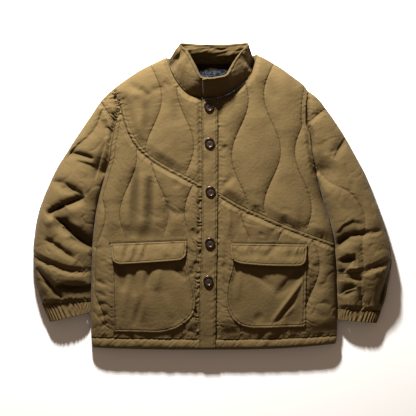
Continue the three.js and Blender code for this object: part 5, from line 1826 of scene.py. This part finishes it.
class Nodes:
    """Short way to add linked shader nodes to a material."""

    def __init__(self, name):
        self.material = bpy.data.materials.new(name)
        self.material.use_nodes = True
        self.tree = self.material.node_tree
        self.shader = self.tree.nodes["Principled BSDF"]

    def add(self, kind, settings=None, **inputs):
        node = self.tree.nodes.new(kind)
        for key, value in (settings or {}).items():
            setattr(node, key, value)
        for key, value in inputs.items():
            self.plug(node.inputs[int(key[1:]) if key[1:].isdigit() else key.replace("_", " ")], value)
        return node

    def plug(self, socket, value):
        if hasattr(value, "links"):
            self.tree.links.new(value, socket)
        else:
            socket.default_value = value

    def math(self, operation, a, b=0.0, c=0.0):
        node = self.add("ShaderNodeMath", {"operation": operation}, _0=a, _1=b, _2=c)
        return node.outputs[0]

    def attribute(self, name):
        return self.add("ShaderNodeAttribute", {"attribute_name": name}).outputs["Fac"]

    def near(self, distance, width):
        """1 on a line, falling to 0 at the given distance from it."""
        node = self.add("ShaderNodeMapRange", {"interpolation_type": "SMOOTHSTEP"}, Value=distance)
        node.inputs["From Max"].default_value = width
        node.inputs["To Min"].default_value = 1
        node.inputs["To Max"].default_value = 0
        return node.outputs[0]

    def noise(self, scale, detail=3.0, stretch=(1, 1, 1)):
        place = self.add("ShaderNodeTexCoord").outputs["Object"]
        mapped = self.add("ShaderNodeMapping", Vector=place)
        mapped.inputs["Scale"].default_value = stretch
        node = self.add("ShaderNodeTexNoise", Vector=mapped.outputs[0], Scale=scale, Detail=detail)
        return node.outputs["Fac"]

    def mix(self, fac, a, b):
        node = self.add("ShaderNodeMix", {"data_type": "RGBA"})
        for socket, value in ((node.inputs[0], fac), (node.inputs[6], a), (node.inputs[7], b)):
            self.plug(socket, value)
        return node.outputs[2]

    def bump(self, height, distance, strength=1.0, under=None):
        node = self.add("ShaderNodeBump", Height=height, Distance=distance * METRE, Strength=strength)
        if under is not None:
            self.plug(node.inputs["Normal"], under)
        return node.outputs[0]

    def weave(self, pitch):
        """Height of a plain weave with the given thread pitch, in millimetres."""
        place = self.add("ShaderNodeTexCoord").outputs["Object"]
        heights = []
        for axis in "XY":
            wave = self.add("ShaderNodeTexWave", {"bands_direction": axis}, Vector=place)
            wave.inputs["Scale"].default_value = WAVES_PER_THREAD / (pitch * METRE)
            heights.append(wave.outputs["Fac"])
        return self.math("MULTIPLY", *heights)


def cloth_material(name, light, dark, seam_and_shade_tint, sheen, roughness, pitch=0.9):
    n = Nodes(name)
    seam, stitch, quilt, along = (n.attribute(a) for a in ("seam", "stitch", "quilt", "along"))
    tone = n.noise(5, 4)
    colour = n.mix(tone, light, dark)
    worn = n.noise(60, 4)
    colour = n.mix(n.math("MULTIPLY", worn, 0.25), colour, seam_and_shade_tint)
    groove = n.near(seam, 2.2)
    thread_line = n.near(stitch, 0.9)
    beat = n.math("GREATER_THAN", n.math("FRACT", n.math("DIVIDE", along, 3.4)), 0.3)
    thread = n.math("MULTIPLY", thread_line, beat)
    # Painted shade beside each row of stitches: this band darkens the colour below and also sinks the dent in
    # the bump.
    around = n.near(stitch, 1.5)
    # Painted shade along each quilting line: the colour darkens in the stitched valley.
    valley = n.near(quilt, 2.3)
    shade = n.math("MAXIMUM", n.math("MULTIPLY", groove, 0.7), n.math("MULTIPLY", around, 0.5))
    shade = n.math("MAXIMUM", shade, n.math("MULTIPLY", valley, 0.45))
    # Painted shade in the folds, from the fold attribute.
    shade = n.math("MAXIMUM", shade, n.math("MULTIPLY", n.attribute("fold"), 0.75))
    # The colour is mixed towards the dark tint for the seam lines and for all this painted shade.
    colour = n.mix(shade, colour, seam_and_shade_tint)
    n.plug(n.shader.inputs["Base Color"], colour)
    crumple = n.bump(n.noise(150, 6), 1.6, 0.55)
    woven = n.bump(n.weave(pitch), 0.12, 0.6, crumple)
    sunk = n.math("SUBTRACT", n.math("MULTIPLY", thread, 0.35), n.math("MAXIMUM", groove, around))
    n.plug(n.shader.inputs["Normal"], n.bump(sunk, 0.9, 0.8, woven))
    n.shader.inputs["Roughness"].default_value = roughness
    n.shader.inputs["Sheen Weight"].default_value = sheen
    n.shader.inputs["Sheen Roughness"].default_value = 0.4
    n.shader.inputs["Sheen Tint"].default_value = 1.0, 0.86, 0.74, 1
    n.shader.inputs["Specular IOR Level"].default_value = 0.12
    return n.material


def metal_material(name, colour, roughness, metallic):
    n = Nodes(name)
    worn = n.noise(220, 3)
    n.plug(n.shader.inputs["Base Color"], n.mix(worn, colour, tuple(0.55 * c for c in colour[:3]) + (1,)))
    n.plug(n.shader.inputs["Normal"], n.bump(n.noise(900, 2), 0.05, 0.4))
    n.shader.inputs["Roughness"].default_value = roughness
    n.shader.inputs["Metallic"].default_value = metallic
    return n.material


def lining_material():
    n = Nodes("dark facing with a pale motif")
    place = n.add("ShaderNodeTexCoord").outputs["Object"]
    spots = n.add("ShaderNodeTexVoronoi", {"feature": "DISTANCE_TO_EDGE"}, Vector=place, Scale=120.0)
    lines = n.near(spots.outputs["Distance"], 0.09)
    cloth = n.mix(n.noise(40, 3), (0.006, 0.008, 0.013, 1), (0.002, 0.003, 0.005, 1))
    motif = n.mix(n.math("MULTIPLY", lines, 0.6), cloth, (0.08, 0.092, 0.11, 1))
    n.plug(n.shader.inputs["Base Color"], motif)
    n.plug(n.shader.inputs["Normal"], n.bump(n.weave(0.8), 0.1, 0.6))
    n.shader.inputs["Roughness"].default_value = 0.7
    n.shader.inputs["Specular IOR Level"].default_value = 0.08
    return n.material


def tape_material():
    n = Nodes("brown herringbone tape")
    tone = n.mix(n.noise(90, 3), (0.035, 0.019, 0.011, 1), (0.018, 0.010, 0.006, 1))
    n.plug(n.shader.inputs["Base Color"], tone)
    n.plug(n.shader.inputs["Normal"], n.bump(n.weave(1.6), 0.3, 0.8))
    n.shader.inputs["Roughness"].default_value = 0.85
    n.shader.inputs["Specular IOR Level"].default_value = 0.1
    return n.material


SHELL = {"light": (0.118, 0.079, 0.031, 1), "dark": (0.100, 0.068, 0.026, 1)}
# Dark tint for the seam lines and for the shade painted beside stitches, along quilting lines and in folds.
SHELL_SEAM_AND_SHADE = (0.030, 0.019, 0.006, 1)
shell = cloth_material("khaki quilted shell", SHELL["light"], SHELL["dark"], SHELL_SEAM_AND_SHADE, 0.06, 0.85)
for piece in CLOTH_PIECES:
    piece.data.materials.append(shell)
for piece in snap_rims:
    piece.data.materials.append(metal_material("dark copper", (0.13, 0.082, 0.062, 1), 0.3, 1.0))
for piece in snap_centres:
    piece.data.materials.append(metal_material("dark brown enamel", (0.035, 0.022, 0.018, 1), 0.4, 0.3))
tape.data.materials.append(tape_material())
lining.data.materials.append(lining_material())

floor_nodes = Nodes("pale floor")
grain = floor_nodes.mix(floor_nodes.noise(3, 3), (0.94, 0.94, 0.935, 1), (0.91, 0.91, 0.905, 1))
floor_nodes.plug(floor_nodes.shader.inputs["Base Color"], grain)
floor_nodes.shader.inputs["Roughness"].default_value = 0.9
floor_nodes.shader.inputs["Specular IOR Level"].default_value = 0.1
floor.data.materials.append(floor_nodes.material)
print("cloth pieces with the shell material:", len(CLOTH_PIECES))
